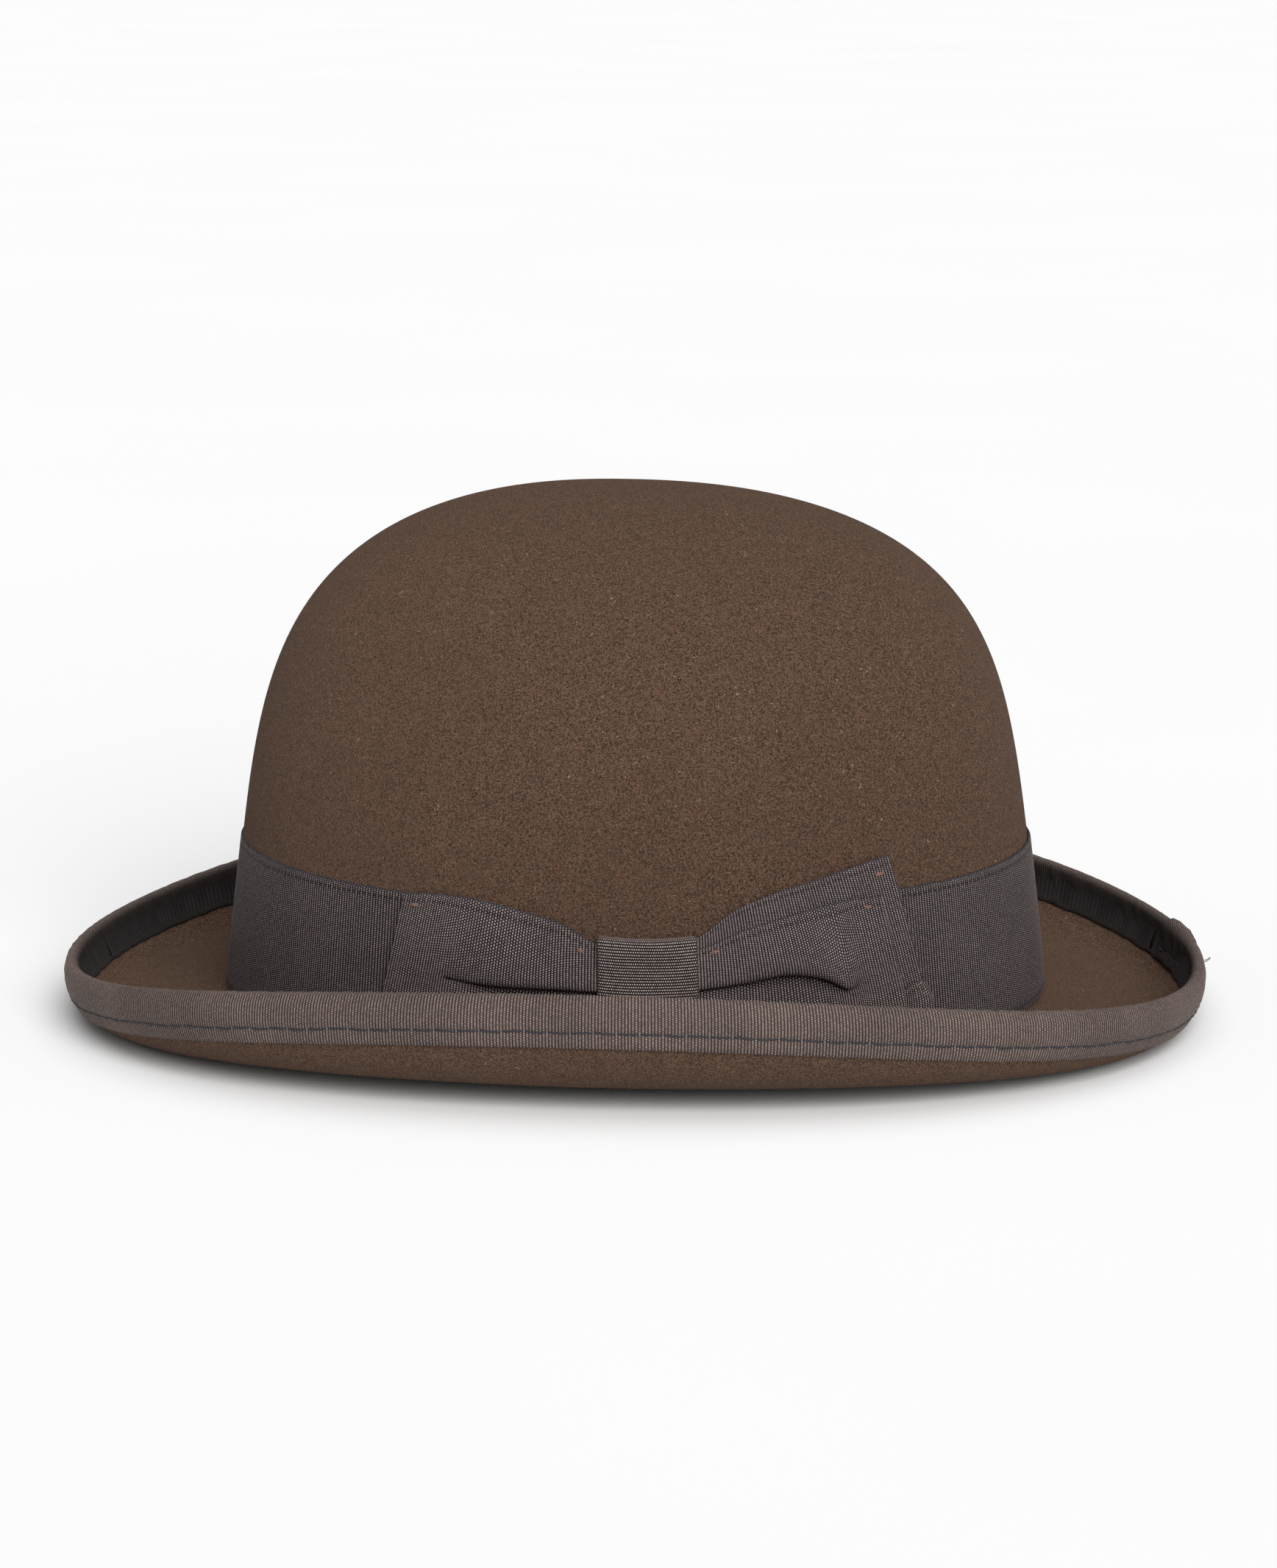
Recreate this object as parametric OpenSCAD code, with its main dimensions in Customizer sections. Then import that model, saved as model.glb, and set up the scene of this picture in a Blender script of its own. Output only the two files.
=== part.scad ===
// Bowler hat: a stiff felt crown and curled brim, a bound edge, a ribbon band with a bow
// on the wearer's left, and inside it a leather sweatband and a satin lining.
// +Z is up, +X points to the back of the hat and -Y to the wearer's left side.
// The origin is the centre of the hat's outline, on the plane that the brim rests on.

/* [Head] */
// Length of the oval head opening, from front to back
head_len = 202; // [196:1:208]
// Width of the oval head opening
head_wid = 166; // [160:1:172]
// Squareness of the oval, where 2 is a plain ellipse
oval_n = 2.12; // [2:0.02:2.3]

/* [Crown] */
// Thickness of the felt
felt_t = 2.4; // [2:0.1:3]
// Height of the crown's top above the underside of the brim
crown_h = 132; // [120:1:140]
// How far the front wall leans in for each mm of height
front_lean = 0.13; // [0.05:0.01:0.2]
// How far the back wall leans in for each mm of height
back_lean = 0.1; // [0.05:0.01:0.2]
// How far the side walls lean in for each mm of height
side_lean = 0.11; // [0.05:0.01:0.2]
// Fullness of the crown's shoulder at the front
front_full = 5.1; // [3:0.1:7]
// Fullness of the crown's shoulder at the back
back_full = 6.1; // [3:0.1:7]
// Fullness of the crown's shoulder at the sides
side_full = 4; // [3:0.1:7]
// Roundness of the crown's top
top_round = 2.27; // [1.9:0.01:2.6]
// How far the top sits forward of the head oval
top_forward = 4.5; // [0:0.5:8]

/* [Brim] */
// Straight run of the brim before its curl, at the front and the back
run_ends = 27; // [20:0.2:30]
// Straight run of the brim before its curl, at the sides
run_sides = 17.4; // [12:0.2:22]
// Slope of that run at the front and the back, in degrees
slope_ends = -7; // [-10:1:2]
// Slope of that run at the sides, in degrees
slope_sides = 16; // [8:1:20]
// Radius of the curl at the front and the back
curl_r_ends = 11.5; // [11:0.5:16]
// Radius of the curl at the sides
curl_r_sides = 18; // [14:0.5:22]
// Angle that the curl ends at, at the front and the back
curl_end_ends = 99; // [85:1:110]
// Angle that the curl ends at, at the sides
curl_end_sides = 111; // [95:1:120]
// How quickly the brim changes from its front shape to its side shape
brim_sharp = 2.35; // [2:0.05:3]
// How much lower the brim joins the crown at the sides than at the front and back
side_drop = 3; // [0:0.5:4]

/* [Ribbons] */
// Width of the hat band
band_w = 40; // [30:1:44]
// Thickness of the grosgrain ribbon
ribbon_t = 0.55; // [0.4:0.05:0.7]
// How much of the brim each face of the edge binding covers
binding_w = 11.2; // [9:0.2:14]
// Distance from the binding's inner edge to its row of stitches
binding_seam = 4; // [2:0.2:5]
// Diameter of the sewing thread
thread_d = 0.4; // [0.3:0.05:0.6]

/* [Bow] */
// Position of the knot's centre behind the middle of the left side
knot_x = 12; // [4:1:16]
// Width of the knot
knot_w = 23; // [18:1:28]
// Height of the knot
knot_h = 15; // [12:1:18]
// Height of the knot's centre above the underside of the brim
knot_z = 29; // [27:0.5:31]
// How far the bow draws the hat band's upper edge down behind the knot
band_dip = 11; // [8:0.5:14]

/* [Inside] */
// Thickness of the leather sweatband
leather_t = 1; // [0.8:0.1:1.2]
// Width of the leather sweatband
leather_w = 50; // [40:1:56]
// Thickness of the satin lining
satin_t = 0.4; // [0.3:0.05:0.5]
// Diameter of the reed in the sweatband's edge
reed_d = 1.4; // [1:0.1:1.4]
// Height of the lining's seam, as a share of the crown's height
seam_share = 0.82; // [0.7:0.01:0.86]

/* [Hidden] */

steps = 56;
angles = [for (i = [0 : steps - 1]) i * 360 / steps];
// Clearances: between touching layers, outside the lining, and at cut ends
gap = 0.1;
lining_gap = 0.3;
end_gap = 0.2;
tape_t = 0.3;
felt_fillet = 1.5;
inner_fillet = 4;
wall_count = 15;
brim_count = 13;
// Share of a brim section's samples that its straight run gets, and where the brim starts
run_share = 0.3;
brim_start = 0.075;
// How closely the crown's rings gather towards its top
dome_ease = 2.4;
// How far along the band its dip behind the knot reaches, and how sharply it ends
dip_reach = 28;
dip_sharp = 3;

// Insets are depths below the felt's outer surface, and negative ones are outside it
lining_in = felt_t + lining_gap;
leather_in = lining_in + satin_t + end_gap;
tape_in = felt_t + gap;
tape_out = leather_in + leather_t + gap + tape_t;
band_out = gap + ribbon_t;
felt_a = head_len / 2 + leather_in + leather_t;
felt_b = head_wid / 2 + leather_in + leather_t;

// Heights above the underside of the brim
band_z = felt_t + felt_fillet + gap;
reed_z = 1.5;
leather_z = reed_z + reed_d / 2 + gap;
tape_top = 8;
tape_hem = 5;
lining_z = 9;
seam_z = seam_share * crown_h;

function spow(v, p) = sign(v) * pow(abs(v), p);
function oval(t) = [spow(cos(t), 2 / oval_n), spow(sin(t), 2 / oval_n)];

// Blends a value round the hat, where t is 0 at the back, 180 at the front and 270 on the left
function around(t, front, back, side, sharp = 2) =
    let (s = pow(abs(sin(t)), sharp), f = (1 - cos(t)) / 2)
    (front * f + back * (1 - f)) * (1 - s) + side * s;
function brim_around(t, ends, sides) = around(t, ends, ends, sides, brim_sharp);
function break_drop(t) = -side_drop * pow(sin(t), 2);

// The brim's section at direction t: d is the distance out from the crown along its
// underside, which goes on straight past the edge, and lift is the height above it
function brim_run(t) = brim_around(t, run_ends, run_sides);
function brim_r(t) = brim_around(t, curl_r_ends, curl_r_sides);
function brim_slope(t) = brim_around(t, slope_ends, slope_sides);
function brim_turn(t) = brim_around(t, curl_end_ends, curl_end_sides) - brim_slope(t);
function brim_len(t) = brim_run(t) + brim_r(t) * brim_turn(t) * PI / 180;
function brim_section(t, d, lift) =
    let (run = brim_run(t), r = brim_r(t), len = brim_len(t), a0 = brim_slope(t),
         a = a0 + min(max(0, d - run), len - run) / r * 180 / PI,
         past = max(0, d - len), flat = min(d, run))
    [flat * cos(a0) + r * (sin(a) - sin(a0)) + past * cos(a) - lift * sin(a),
     flat * sin(a0) + r * (cos(a0) - cos(a)) + past * sin(a) + lift * cos(a)];
// Distance out for a sample q, from 0 at the crown to 1 at the edge
function brim_d(t, q) =
    q < run_share ? brim_run(t) * q / run_share
    : brim_run(t) + (brim_len(t) - brim_run(t)) * (q - run_share) / (1 - run_share);
brim_samples = [for (k = [0 : brim_count - 1]) brim_start + (1 - brim_start) * k / brim_count];

// The height of the brim's join that puts its lowest point on the resting plane
rest_z = -min([for (t = angles, q = brim_samples)
    brim_section(t, brim_d(t, q), 0)[1] + break_drop(t)]);

// Places a point measured out and up from the foot of the crown
function from_foot(t, p) =
    [(felt_a + band_out + p[0]) * oval(t)[0], (felt_b + band_out + p[0]) * oval(t)[1],
     rest_z + break_drop(t) + p[1]];
function brim_pt(t, d, lift) = from_foot(t, brim_section(t, d, lift));

// A point on the crown, at height z and at a depth below the felt's outer surface
function crown_pt(t, z, inset) =
    let (h = crown_h - inset, u = min(1, z / h),
         lean = around(t, front_lean, back_lean, side_lean),
         full = around(t, front_full, back_full, side_full),
         dome = pow(1 - pow(u, full), 1 / top_round))
    [(felt_a - inset - lean * z) * dome * oval(t)[0] - top_forward * u * u,
     (felt_b - inset - lean * z) * dome * oval(t)[1],
     rest_z + z + break_drop(t) * (1 - u)];
function crown_top(inset) = [-top_forward, 0, rest_z + crown_h - inset];
// Heights of the rings from z0 to the top, which are closer together near the top
function dome_heights(z0, inset) = [for (k = [0 : wall_count])
    z0 + (crown_h - inset - z0) * (1 - pow(1 - k / (wall_count + 1), dome_ease))];

// Point k of n on a round corner that turns from p to r at q
function corner(p, q, r, k, n) =
    let (s = k / n) (1 - s) * (1 - s) * p + 2 * s * (1 - s) * q + s * s * r;
function mix(a, b, f) = a + (b - a) * f;
function reverse(list) = [for (i = [len(list) - 1 : -1 : 0]) list[i]];

// Rings of points round the hat
function brim_row(q, lift) = [for (t = angles) brim_pt(t, brim_d(t, q), lift)];
function edge_row(from_edge, lift) =
    [for (t = angles) brim_pt(t, brim_len(t) - from_edge, lift)];
function crown_row(z, inset) = [for (t = angles) crown_pt(t, z, inset)];

// Triangles between ring a and ring b, each of n points
function ring_faces(a, b, n) = [for (i = [0 : n - 1]) let (j = (i + 1) % n)
    each [[a * n + i, b * n + j, b * n + i], [a * n + i, a * n + j, b * n + j]]];

// A solid that closes on itself, from rings in order round its section
module ring_solid(rows) {
    n = len(rows[0]);
    m = len(rows);
    polyhedron([for (row = rows) each row],
        [for (k = [0 : m - 1]) each ring_faces(k, (k + 1) % m, n)]);
}

// A domed shell, from rings that run from its outer pole round its edge to its inner pole
module dome_solid(rows, outer_pole, inner_pole) {
    n = len(rows[0]);
    m = len(rows);
    polyhedron(concat([for (row = rows) each row], [outer_pole, inner_pole]),
        concat([for (k = [0 : m - 2]) each ring_faces(k, k + 1, n)],
            [for (i = [0 : n - 1]) [m * n, (i + 1) % n, i]],
            [for (i = [0 : n - 1]) [m * n + 1, (m - 1) * n + i, (m - 1) * n + (i + 1) % n]]));
}

// A bar with closed ends, from sections of n points
module bar_solid(sections) {
    n = len(sections[0]);
    m = len(sections);
    last = n * (m - 1);
    polyhedron([for (s = sections) each s],
        concat([for (k = [0 : m - 2]) each ring_faces(k, k + 1, n)],
            [for (i = [1 : n - 2]) [0, i + 1, i]],
            [for (i = [1 : n - 2]) [last, last + i, last + i + 1]]));
}

// A strip against the crown's wall through the given heights, between two insets
module wall_strip(heights, outer, inner) {
    ring_solid(concat([for (z = reverse(heights)) crown_row(z, outer)],
        [for (z = heights) crown_row(z, inner)]));
}

// Threads that run right round, on the crown and on the brim
module crown_thread(z, inset, r) {
    ring_solid([crown_row(z + r, inset), crown_row(z, inset - r),
        crown_row(z - r, inset), crown_row(z, inset + r)]);
}
module edge_thread(from_edge, lift, r) {
    ring_solid([edge_row(from_edge + r, lift), edge_row(from_edge, lift + r),
        edge_row(from_edge - r, lift), edge_row(from_edge, lift - r)]);
}

module felt_body() {
    wall_z = felt_t + felt_fillet;
    // The felt's cut edge is slightly rounded: how far it stands out, and how deep its corners are
    nose = 0.38 * felt_t;
    brow = 0.2 * felt_t;
    color("#5f4a3c")
    dome_solid(concat(
        [for (z = reverse(dome_heights(wall_z, 0))) crown_row(z, 0)],
        [[for (t = angles)
            corner(crown_pt(t, wall_z, 0), from_foot(t, [-band_out, felt_t]),
                brim_pt(t, brim_d(t, brim_start), felt_t), 1, 2)]],
        [for (q = brim_samples) brim_row(q, felt_t)],
        [edge_row(0, felt_t), edge_row(-nose, felt_t - brow)],
        [edge_row(-nose, brow), edge_row(0, 0)],
        [for (q = reverse(brim_samples)) brim_row(q, 0)],
        [for (k = [1, 2]) [for (t = angles)
            corner(brim_pt(t, brim_d(t, brim_start), 0), from_foot(t, [-band_out - felt_t, 0]),
                crown_pt(t, inner_fillet, felt_t), k, 3)]],
        [for (z = dome_heights(inner_fillet, felt_t)) crown_row(z, felt_t)]),
        crown_top(0), crown_top(felt_t));
}

// The rows of one face of the binding, from its lower edge outside to its lower edge inside
function binding_rows(clear) =
    let (count = 4, r = felt_t / 2 + clear)
    concat(
        [for (k = [count : -1 : 0]) edge_row(binding_w * k / count, -clear)],
        [for (a = [-50, 0, 50]) edge_row(-r * cos(a), felt_t / 2 + r * sin(a))],
        [for (k = [0 : count]) edge_row(binding_w * k / count, felt_t + clear)]);

module brim_binding() {
    color("#685b57")
    ring_solid(concat(reverse(binding_rows(band_out)), binding_rows(gap)));
}

module binding_stitching() {
    r = thread_d / 2;
    off = band_out + r + gap / 2;
    color("#2c2f38") {
        edge_thread(binding_w - binding_seam, -off, r);
        edge_thread(binding_w - binding_seam, felt_t + off, r);
    }
}

// The band keeps its width all round, except where the bow gathers it behind the knot
function band_top(t) =
    let (along = abs(crown_pt(t, band_z, 0)[0] - knot_x) / dip_reach)
    band_z + band_w - (sin(t) < 0 ? band_dip * exp(-pow(along, dip_sharp)) : 0);
function band_row(share, inset) =
    [for (t = angles) crown_pt(t, mix(band_z, band_top(t), share), inset)];

module hat_band() {
    shares = [for (k = [0 : 3]) k / 3];
    color("#46403f")
    ring_solid(concat([for (f = reverse(shares)) band_row(f, -band_out)],
        [for (f = shares) band_row(f, -gap)]));
}

// A place on the left of the crown, x behind the middle and a distance out from the felt
bow_a = felt_a - side_lean * knot_z;
function bow_dir(x) = 270 + sign(x) * asin(pow(abs(x) / bow_a, oval_n / 2));
function bow_pt(x, z, out) = crown_pt(bow_dir(x), z, -out);

// Ribbon folded back on itself at the last of its stations, each of which is
// [x at top, z at top, x at bottom, z at bottom, inner layer's distance out, outer layer's]
module folded_ribbon(stations) {
    end = stations[len(stations) - 1];
    way = sign(end[0] - stations[0][0]);
    fold_r = (end[5] - end[4]) / 2;
    path = concat(
        [for (s = stations) [s[0], s[1], s[2], s[3], s[4], 0, -1]],
        [for (a = [45, 90, 135]) let (x = way * fold_r * sin(a))
            [end[0] + x, end[1], end[2] + x, end[3], (end[4] + end[5]) / 2 - fold_r * cos(a),
             way * sin(a), -cos(a)]],
        [for (s = reverse(stations)) [s[0], s[1], s[2], s[3], s[5], 0, 1]]);
    // A point of one face of the ribbon, f of the way up it
    function face_pt(p, f, side) =
        bow_pt(mix(p[2], p[0], f) + side * p[5] * ribbon_t / 2, mix(p[3], p[1], f),
            p[4] + side * p[6] * ribbon_t / 2);
    // Each section goes up one face and down the other
    sections = [for (p = path)
        concat([for (f = [0, 0.5, 1]) face_pt(p, f, 1)], [for (f = [1, 0.5, 0]) face_pt(p, f, -1)])];
    bar_solid(way < 0 ? sections : reverse(sections));
}

module bow_front_loop() {
    color("#575050")
    folded_ribbon([
        [8, 34, 8, 24.8, 2.3, 3.3],
        [0, 34.8, 0, 25.2, 2.3, 3.5],
        [-9, 39.2, -9, 25.4, 1.9, 3.8],
        [-20, 42, -23, 25.4, 1.5, 3.7],
        [-30, 43.4, -34, 23.8, 1.3, 3.2],
        [-39, 43.7, -44, 14.6, 1.2, 2.6],
        [-47, 43.2, -53, 7, 1.1, 2.2]]);
}

module bow_rear_loop() {
    color("#595050")
    folded_ribbon([
        [16, 33.8, 16, 24.2, 3.3, 4.1],
        [24, 34.2, 24, 25, 3.3, 4.3],
        [33, 37.4, 34, 26, 3.3, 4.7],
        [43, 40, 46, 27, 3.1, 4.8],
        [52, 41.9, 57, 24.6, 2.9, 4.4],
        [60, 42.9, 65, 15.4, 2.8, 4.1],
        [66, 43, 71.5, 7, 2.8, 4.1]]);
}

module bow_rear_tail() {
    color("#4f4848")
    folded_ribbon([
        [16, 33.2, 16, 24.8, 1.9, 2.5],
        [24, 34.4, 24, 24.6, 1.9, 2.5],
        [33, 40.6, 35, 24.5, 1.4, 2.1],
        [43, 44.4, 47, 23, 1.3, 2.1],
        [52, 46.9, 58, 19.6, 1.3, 2.1],
        [62, 50, 68, 16, 1.3, 2.1],
        [69.2, 52, 75.2, 13.5, 1.3, 2.1]]);
}

// A sleeve of ribbon wrapped round the gathered middle of the bow
module bow_knot() {
    // The sleeve's section is a rounded rectangle from the band out to its depth
    low = band_out + gap;
    depth = 4.6;
    corners = 0.35;
    function sleeve_row(x, shrink) = [for (a = [0 : 30 : 330])
        bow_pt(x, knot_z + (knot_h / 2 - shrink) * spow(sin(a), corners),
            low + depth / 2 + (depth / 2 - shrink) * spow(cos(a), corners))];
    places = [for (k = [0 : 4]) knot_x + knot_w * (k / 4 - 0.5)];
    color("#5c5251")
    ring_solid(concat([for (x = places) sleeve_row(x, 0)],
        [for (x = reverse(places)) sleeve_row(x, ribbon_t)]));
}

// Short hand stitches that hold the folds of the bow, as [x, z, distance out, slant]
module bow_tacks() {
    tack = [2.2, thread_d, thread_d];
    places = [[-44.5, 40.8, 2.4, 10], [-3, 33.6, 3.7, 20], [26.5, 33, 4.3, -20],
        [66, 48, 1.9, 20], [63, 39.8, 3.8, 0], [69.8, 22.6, 3.9, 0]];
    color("#8a5a48")
    for (p = places)
        translate(bow_pt(p[0], p[1], p[2] + ribbon_t / 2 + thread_d))
            rotate([0, -p[3], bow_dir(p[0]) - 270])
                cube(tack, center = true);
}

module sweatband() {
    color("#4a3527")
    wall_strip([for (k = [0 : 3]) leather_z + leather_w * k / 3],
        leather_in, leather_in + leather_t);
}

module sweatband_reed() {
    r = reed_d / 2;
    mid = (tape_in + tape_out) / 2;
    color("#d8d2c4")
    ring_solid([for (a = [0 : 60 : 300]) crown_row(reed_z + r * sin(a), mid + r * cos(a))]);
}

// The tape's section is a U round the reed: two flanks and a half round below it
function tape_rows(thin) =
    let (mid = (tape_in + tape_out) / 2, r = (tape_out - tape_in) / 2 - thin)
    concat([crown_row(tape_top, mid - r)],
        [for (a = [180, 225, 270, 315, 360]) crown_row(reed_z + r * sin(a), mid + r * cos(a))],
        [crown_row(tape_hem, mid + r)]);

module reed_tape() {
    color("#3b3533")
    ring_solid(concat(reverse(tape_rows(tape_t)), tape_rows(0)));
}

module reed_tape_stitching() {
    color("#2c2f38")
    crown_thread(tape_hem - 1.4, tape_out + thread_d / 2 + gap / 2, thread_d / 2);
}

// Zigzag stitches that join the ends of the leather at the back
module sweatband_back_seam() {
    stitch = [thread_d, 3.6, thread_d];
    count = 12;
    first_z = 20;
    pitch = 2.4;
    slant = 30;
    color("#8a6a4a")
    for (k = [0 : count - 1])
        translate(crown_pt(0, first_z + k * pitch, leather_in + leather_t + thread_d + gap))
            rotate([k % 2 == 0 ? slant : -slant, 0, 0])
                cube(stitch, center = true);
}

// A small flat bow on the leather's back seam
module sweatband_back_bow() {
    bow_mid_z = 11;
    near = leather_in + leather_t + 2 * gap;
    // Stations along the bow, each [y, half height, thickness]
    half = [[11, 3.4, 1], [8, 3.6, 1.4], [4, 2.6, 1.4], [1.8, 1.6, 2]];
    stations = concat([for (s = half) [-s[0], s[1], s[2]]], reverse(half));
    function back_pt(y, z, inset) =
        crown_pt(sign(y) * asin(pow(abs(y) / felt_b, oval_n / 2)), z, inset);
    color("#2b2624")
    bar_solid([for (s = stations)
        [back_pt(s[0], bow_mid_z - s[1], near), back_pt(s[0], bow_mid_z + s[1], near),
         back_pt(s[0], bow_mid_z + s[1], near + s[2]),
         back_pt(s[0], bow_mid_z - s[1], near + s[2])]]);
}

// Rings of the lining that share the felt's spacing, so that the two stay parallel
function lining_heights(inset) = dome_heights(inner_fillet, inset);

module lining_side() {
    color("#6b5a4c")
    ring_solid(concat(
        [crown_row(seam_z - end_gap, lining_in)],
        [for (z = reverse(lining_heights(lining_in))) if (z > lining_z && z < seam_z - 1)
            crown_row(z, lining_in)],
        [crown_row(lining_z, lining_in), crown_row(lining_z, lining_in + satin_t)],
        [for (z = lining_heights(lining_in + satin_t)) if (z > lining_z && z < seam_z - 1)
            crown_row(z, lining_in + satin_t)],
        [crown_row(seam_z - end_gap, lining_in + satin_t)]));
}

module lining_tip() {
    color("#75624f")
    dome_solid(concat(
        [for (z = reverse(lining_heights(lining_in))) if (z > seam_z + 1) crown_row(z, lining_in)],
        [crown_row(seam_z + end_gap, lining_in), crown_row(seam_z + end_gap, lining_in + satin_t)],
        [for (z = lining_heights(lining_in + satin_t)) if (z > seam_z + 1)
            crown_row(z, lining_in + satin_t)]),
        crown_top(lining_in), crown_top(lining_in + satin_t));
}

module lining_seam_thread() {
    color("#5a4a3e")
    crown_thread(seam_z, lining_in + satin_t + thread_d / 2 + gap, thread_d / 2);
}

felt_body();
brim_binding();
binding_stitching();
hat_band();
bow_front_loop();
bow_rear_loop();
bow_rear_tail();
bow_knot();
bow_tacks();
sweatband();
sweatband_reed();
reed_tape();
reed_tape_stitching();
sweatband_back_seam();
sweatband_back_bow();
lining_side();
lining_tip();
lining_seam_thread();
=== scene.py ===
"""Looks of the bowler hat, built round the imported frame: blocked felt, grosgrain band, bow and edge
binding, the hand and machine sewing, and inside it the leather sweatband and the satin lining.
Lengths are in millimetres until a mesh is made, and Blender's own values are in metres.
+X is the back of the hat and -Y the wearer's left side. Directions t are degrees round the hat:
0 at the back, 90 on the right, 180 at the front and 270 on the left."""

import math

import bpy
import numpy as np
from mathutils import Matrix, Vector
from mathutils.bvhtree import BVHTree


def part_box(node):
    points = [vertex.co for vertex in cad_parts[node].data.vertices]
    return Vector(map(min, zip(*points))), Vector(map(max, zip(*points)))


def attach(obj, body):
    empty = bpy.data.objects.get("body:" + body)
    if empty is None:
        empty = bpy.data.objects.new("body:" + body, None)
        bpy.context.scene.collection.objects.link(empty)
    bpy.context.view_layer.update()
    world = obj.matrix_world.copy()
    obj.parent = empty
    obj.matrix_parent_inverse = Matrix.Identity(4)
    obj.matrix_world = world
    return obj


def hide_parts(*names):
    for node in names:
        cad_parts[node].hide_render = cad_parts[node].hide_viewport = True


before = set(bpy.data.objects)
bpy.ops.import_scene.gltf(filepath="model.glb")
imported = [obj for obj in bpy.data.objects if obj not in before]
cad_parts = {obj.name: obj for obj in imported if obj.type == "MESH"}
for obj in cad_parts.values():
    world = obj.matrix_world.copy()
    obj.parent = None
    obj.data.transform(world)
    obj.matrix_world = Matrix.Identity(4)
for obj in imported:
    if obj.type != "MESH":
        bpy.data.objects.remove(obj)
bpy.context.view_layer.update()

MM = 0.001
BODY = "root"

# ---- sizes, as in the CAD model
HEAD_LEN, HEAD_WID, OVAL_N = 202, 166, 2.12
FELT_T, CROWN_H = 2.4, 132
LEAN = (0.13, 0.10, 0.11)  # front, back, side
FULL = (5.1, 6.1, 4.0)  # front, back, side
TOP_ROUND, TOP_FORWARD = 2.27, 4.5
RUN = (27, 17.4)  # ends, sides
SLOPE = (-7, 16)
CURL_R = (11.5, 18)
CURL_END = (99, 111)
BRIM_SHARP, SIDE_DROP = 2.35, 3
BAND_W, RIBBON_T = 39, 0.55
BINDING_W, BINDING_SEAM = 11.2, 4
KNOT_X, KNOT_W, KNOT_H, KNOT_Z = 12, 23, 15, 29
BAND_DIP, DIP_REACH, DIP_SHARP = 11, 28, 3
LEATHER_T, LEATHER_W, SATIN_T, REED_D, SEAM_SHARE = 1, 50, 0.4, 1.4, 0.82
GAP, LINING_GAP, END_GAP, TAPE_T = 0.1, 0.3, 0.2, 0.3
FELT_FILLET, INNER_FILLET, BRIM_START = 1.5, 4, 0.075

LINING_IN = FELT_T + LINING_GAP
LEATHER_IN = LINING_IN + SATIN_T + END_GAP
TAPE_IN = FELT_T + GAP
TAPE_OUT = LEATHER_IN + LEATHER_T + GAP + TAPE_T
BAND_OUT = GAP + RIBBON_T
FELT_A = HEAD_LEN / 2 + LEATHER_IN + LEATHER_T
FELT_B = HEAD_WID / 2 + LEATHER_IN + LEATHER_T
BAND_Z = FELT_T + FELT_FILLET + GAP
REED_Z = 1.5
LEATHER_Z = REED_Z + REED_D / 2 + GAP
TAPE_TOP, TAPE_HEM, LINING_Z = 8, 5, 9
SEAM_Z = SEAM_SHARE * CROWN_H
REST_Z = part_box("felt_body")[1][2] / MM - CROWN_H

# ---- sizes that only the looks need
RIB, BOW_RIB, KNOT_RIB, BINDING_RIB, TAPE_RIB, SMALL_RIB = 0.82, 0.74, 0.68, 0.76, 0.75, 0.7
RIB_DEPTH, FINE_DEPTH, TAPE_DEPTH = 0.11, 0.05, 0.07
SAMPLES_PER_RIB = 4
BINDING_SAMPLES = 3  # the first is in the valley beside the rib
THREAD_PITCH, BINDING_PITCH = 0.52, 0.4  # of the warp threads along a rib
BOW_RIBBON_W, TAIL_W = 36, 28
BINDING_STITCH, TAPE_STITCH, LINING_STITCH = 5.3, 3.2, 3.0
THREAD_R, TAPE_THREAD_R, SEAM_THREAD_R, TACK_R, LOOSE_R = 0.24, 0.17, 0.2, 0.13, 0.1
TWIST = 0.75  # length of one turn of a thread's strands
JOIN_T, JOIN_LEN, JOIN_LIFT = 17.5, 24, 1.0  # where the binding's end laps over its start
THREAD_END_T = 4.5  # where a loose end of thread stands off the rim


def rad(t):
    return np.radians(t)


def spow(v, p):
    return np.sign(v) * np.abs(v) ** p


def oval(t):
    return spow(np.cos(rad(t)), 2 / OVAL_N), spow(np.sin(rad(t)), 2 / OVAL_N)


def around(t, front, back, side, sharp=2):
    """A value that changes round the hat from its front to its side to its back."""
    s = np.abs(np.sin(rad(t))) ** sharp
    f = (1 - np.cos(rad(t))) / 2
    return (front * f + back * (1 - f)) * (1 - s) + side * s


def brim_around(t, ends_sides):
    return around(t, ends_sides[0], ends_sides[0], ends_sides[1], BRIM_SHARP)


def break_drop(t):
    return -SIDE_DROP * np.sin(rad(t)) ** 2


def brim_len(t):
    turn = brim_around(t, CURL_END) - brim_around(t, SLOPE)
    return brim_around(t, RUN) + brim_around(t, CURL_R) * rad(turn)


def from_foot(t, out, up):
    """Points measured out and up from the foot of the crown."""
    ox, oy = oval(t)
    return np.stack([(FELT_A + BAND_OUT + out) * ox, (FELT_B + BAND_OUT + out) * oy,
                     REST_Z + break_drop(t) + up + 0 * ox], -1)


def brim_pt(t, d, lift):
    """Points on the brim: d is the distance out along its underside, lift the height above it."""
    run, r, a0 = brim_around(t, RUN), brim_around(t, CURL_R), rad(brim_around(t, SLOPE))
    length = brim_len(t)
    a = a0 + np.minimum(np.maximum(0, d - run), length - run) / r
    past, flat = np.maximum(0, d - length), np.minimum(d, run)
    out = flat * np.cos(a0) + r * (np.sin(a) - np.sin(a0)) + past * np.cos(a) - lift * np.sin(a)
    up = flat * np.sin(a0) + r * (np.cos(a0) - np.cos(a)) + past * np.sin(a) + lift * np.cos(a)
    return from_foot(t, out, up)


def edge_pt(t, from_edge, lift):
    return brim_pt(t, brim_len(t) - from_edge, lift)


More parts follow.
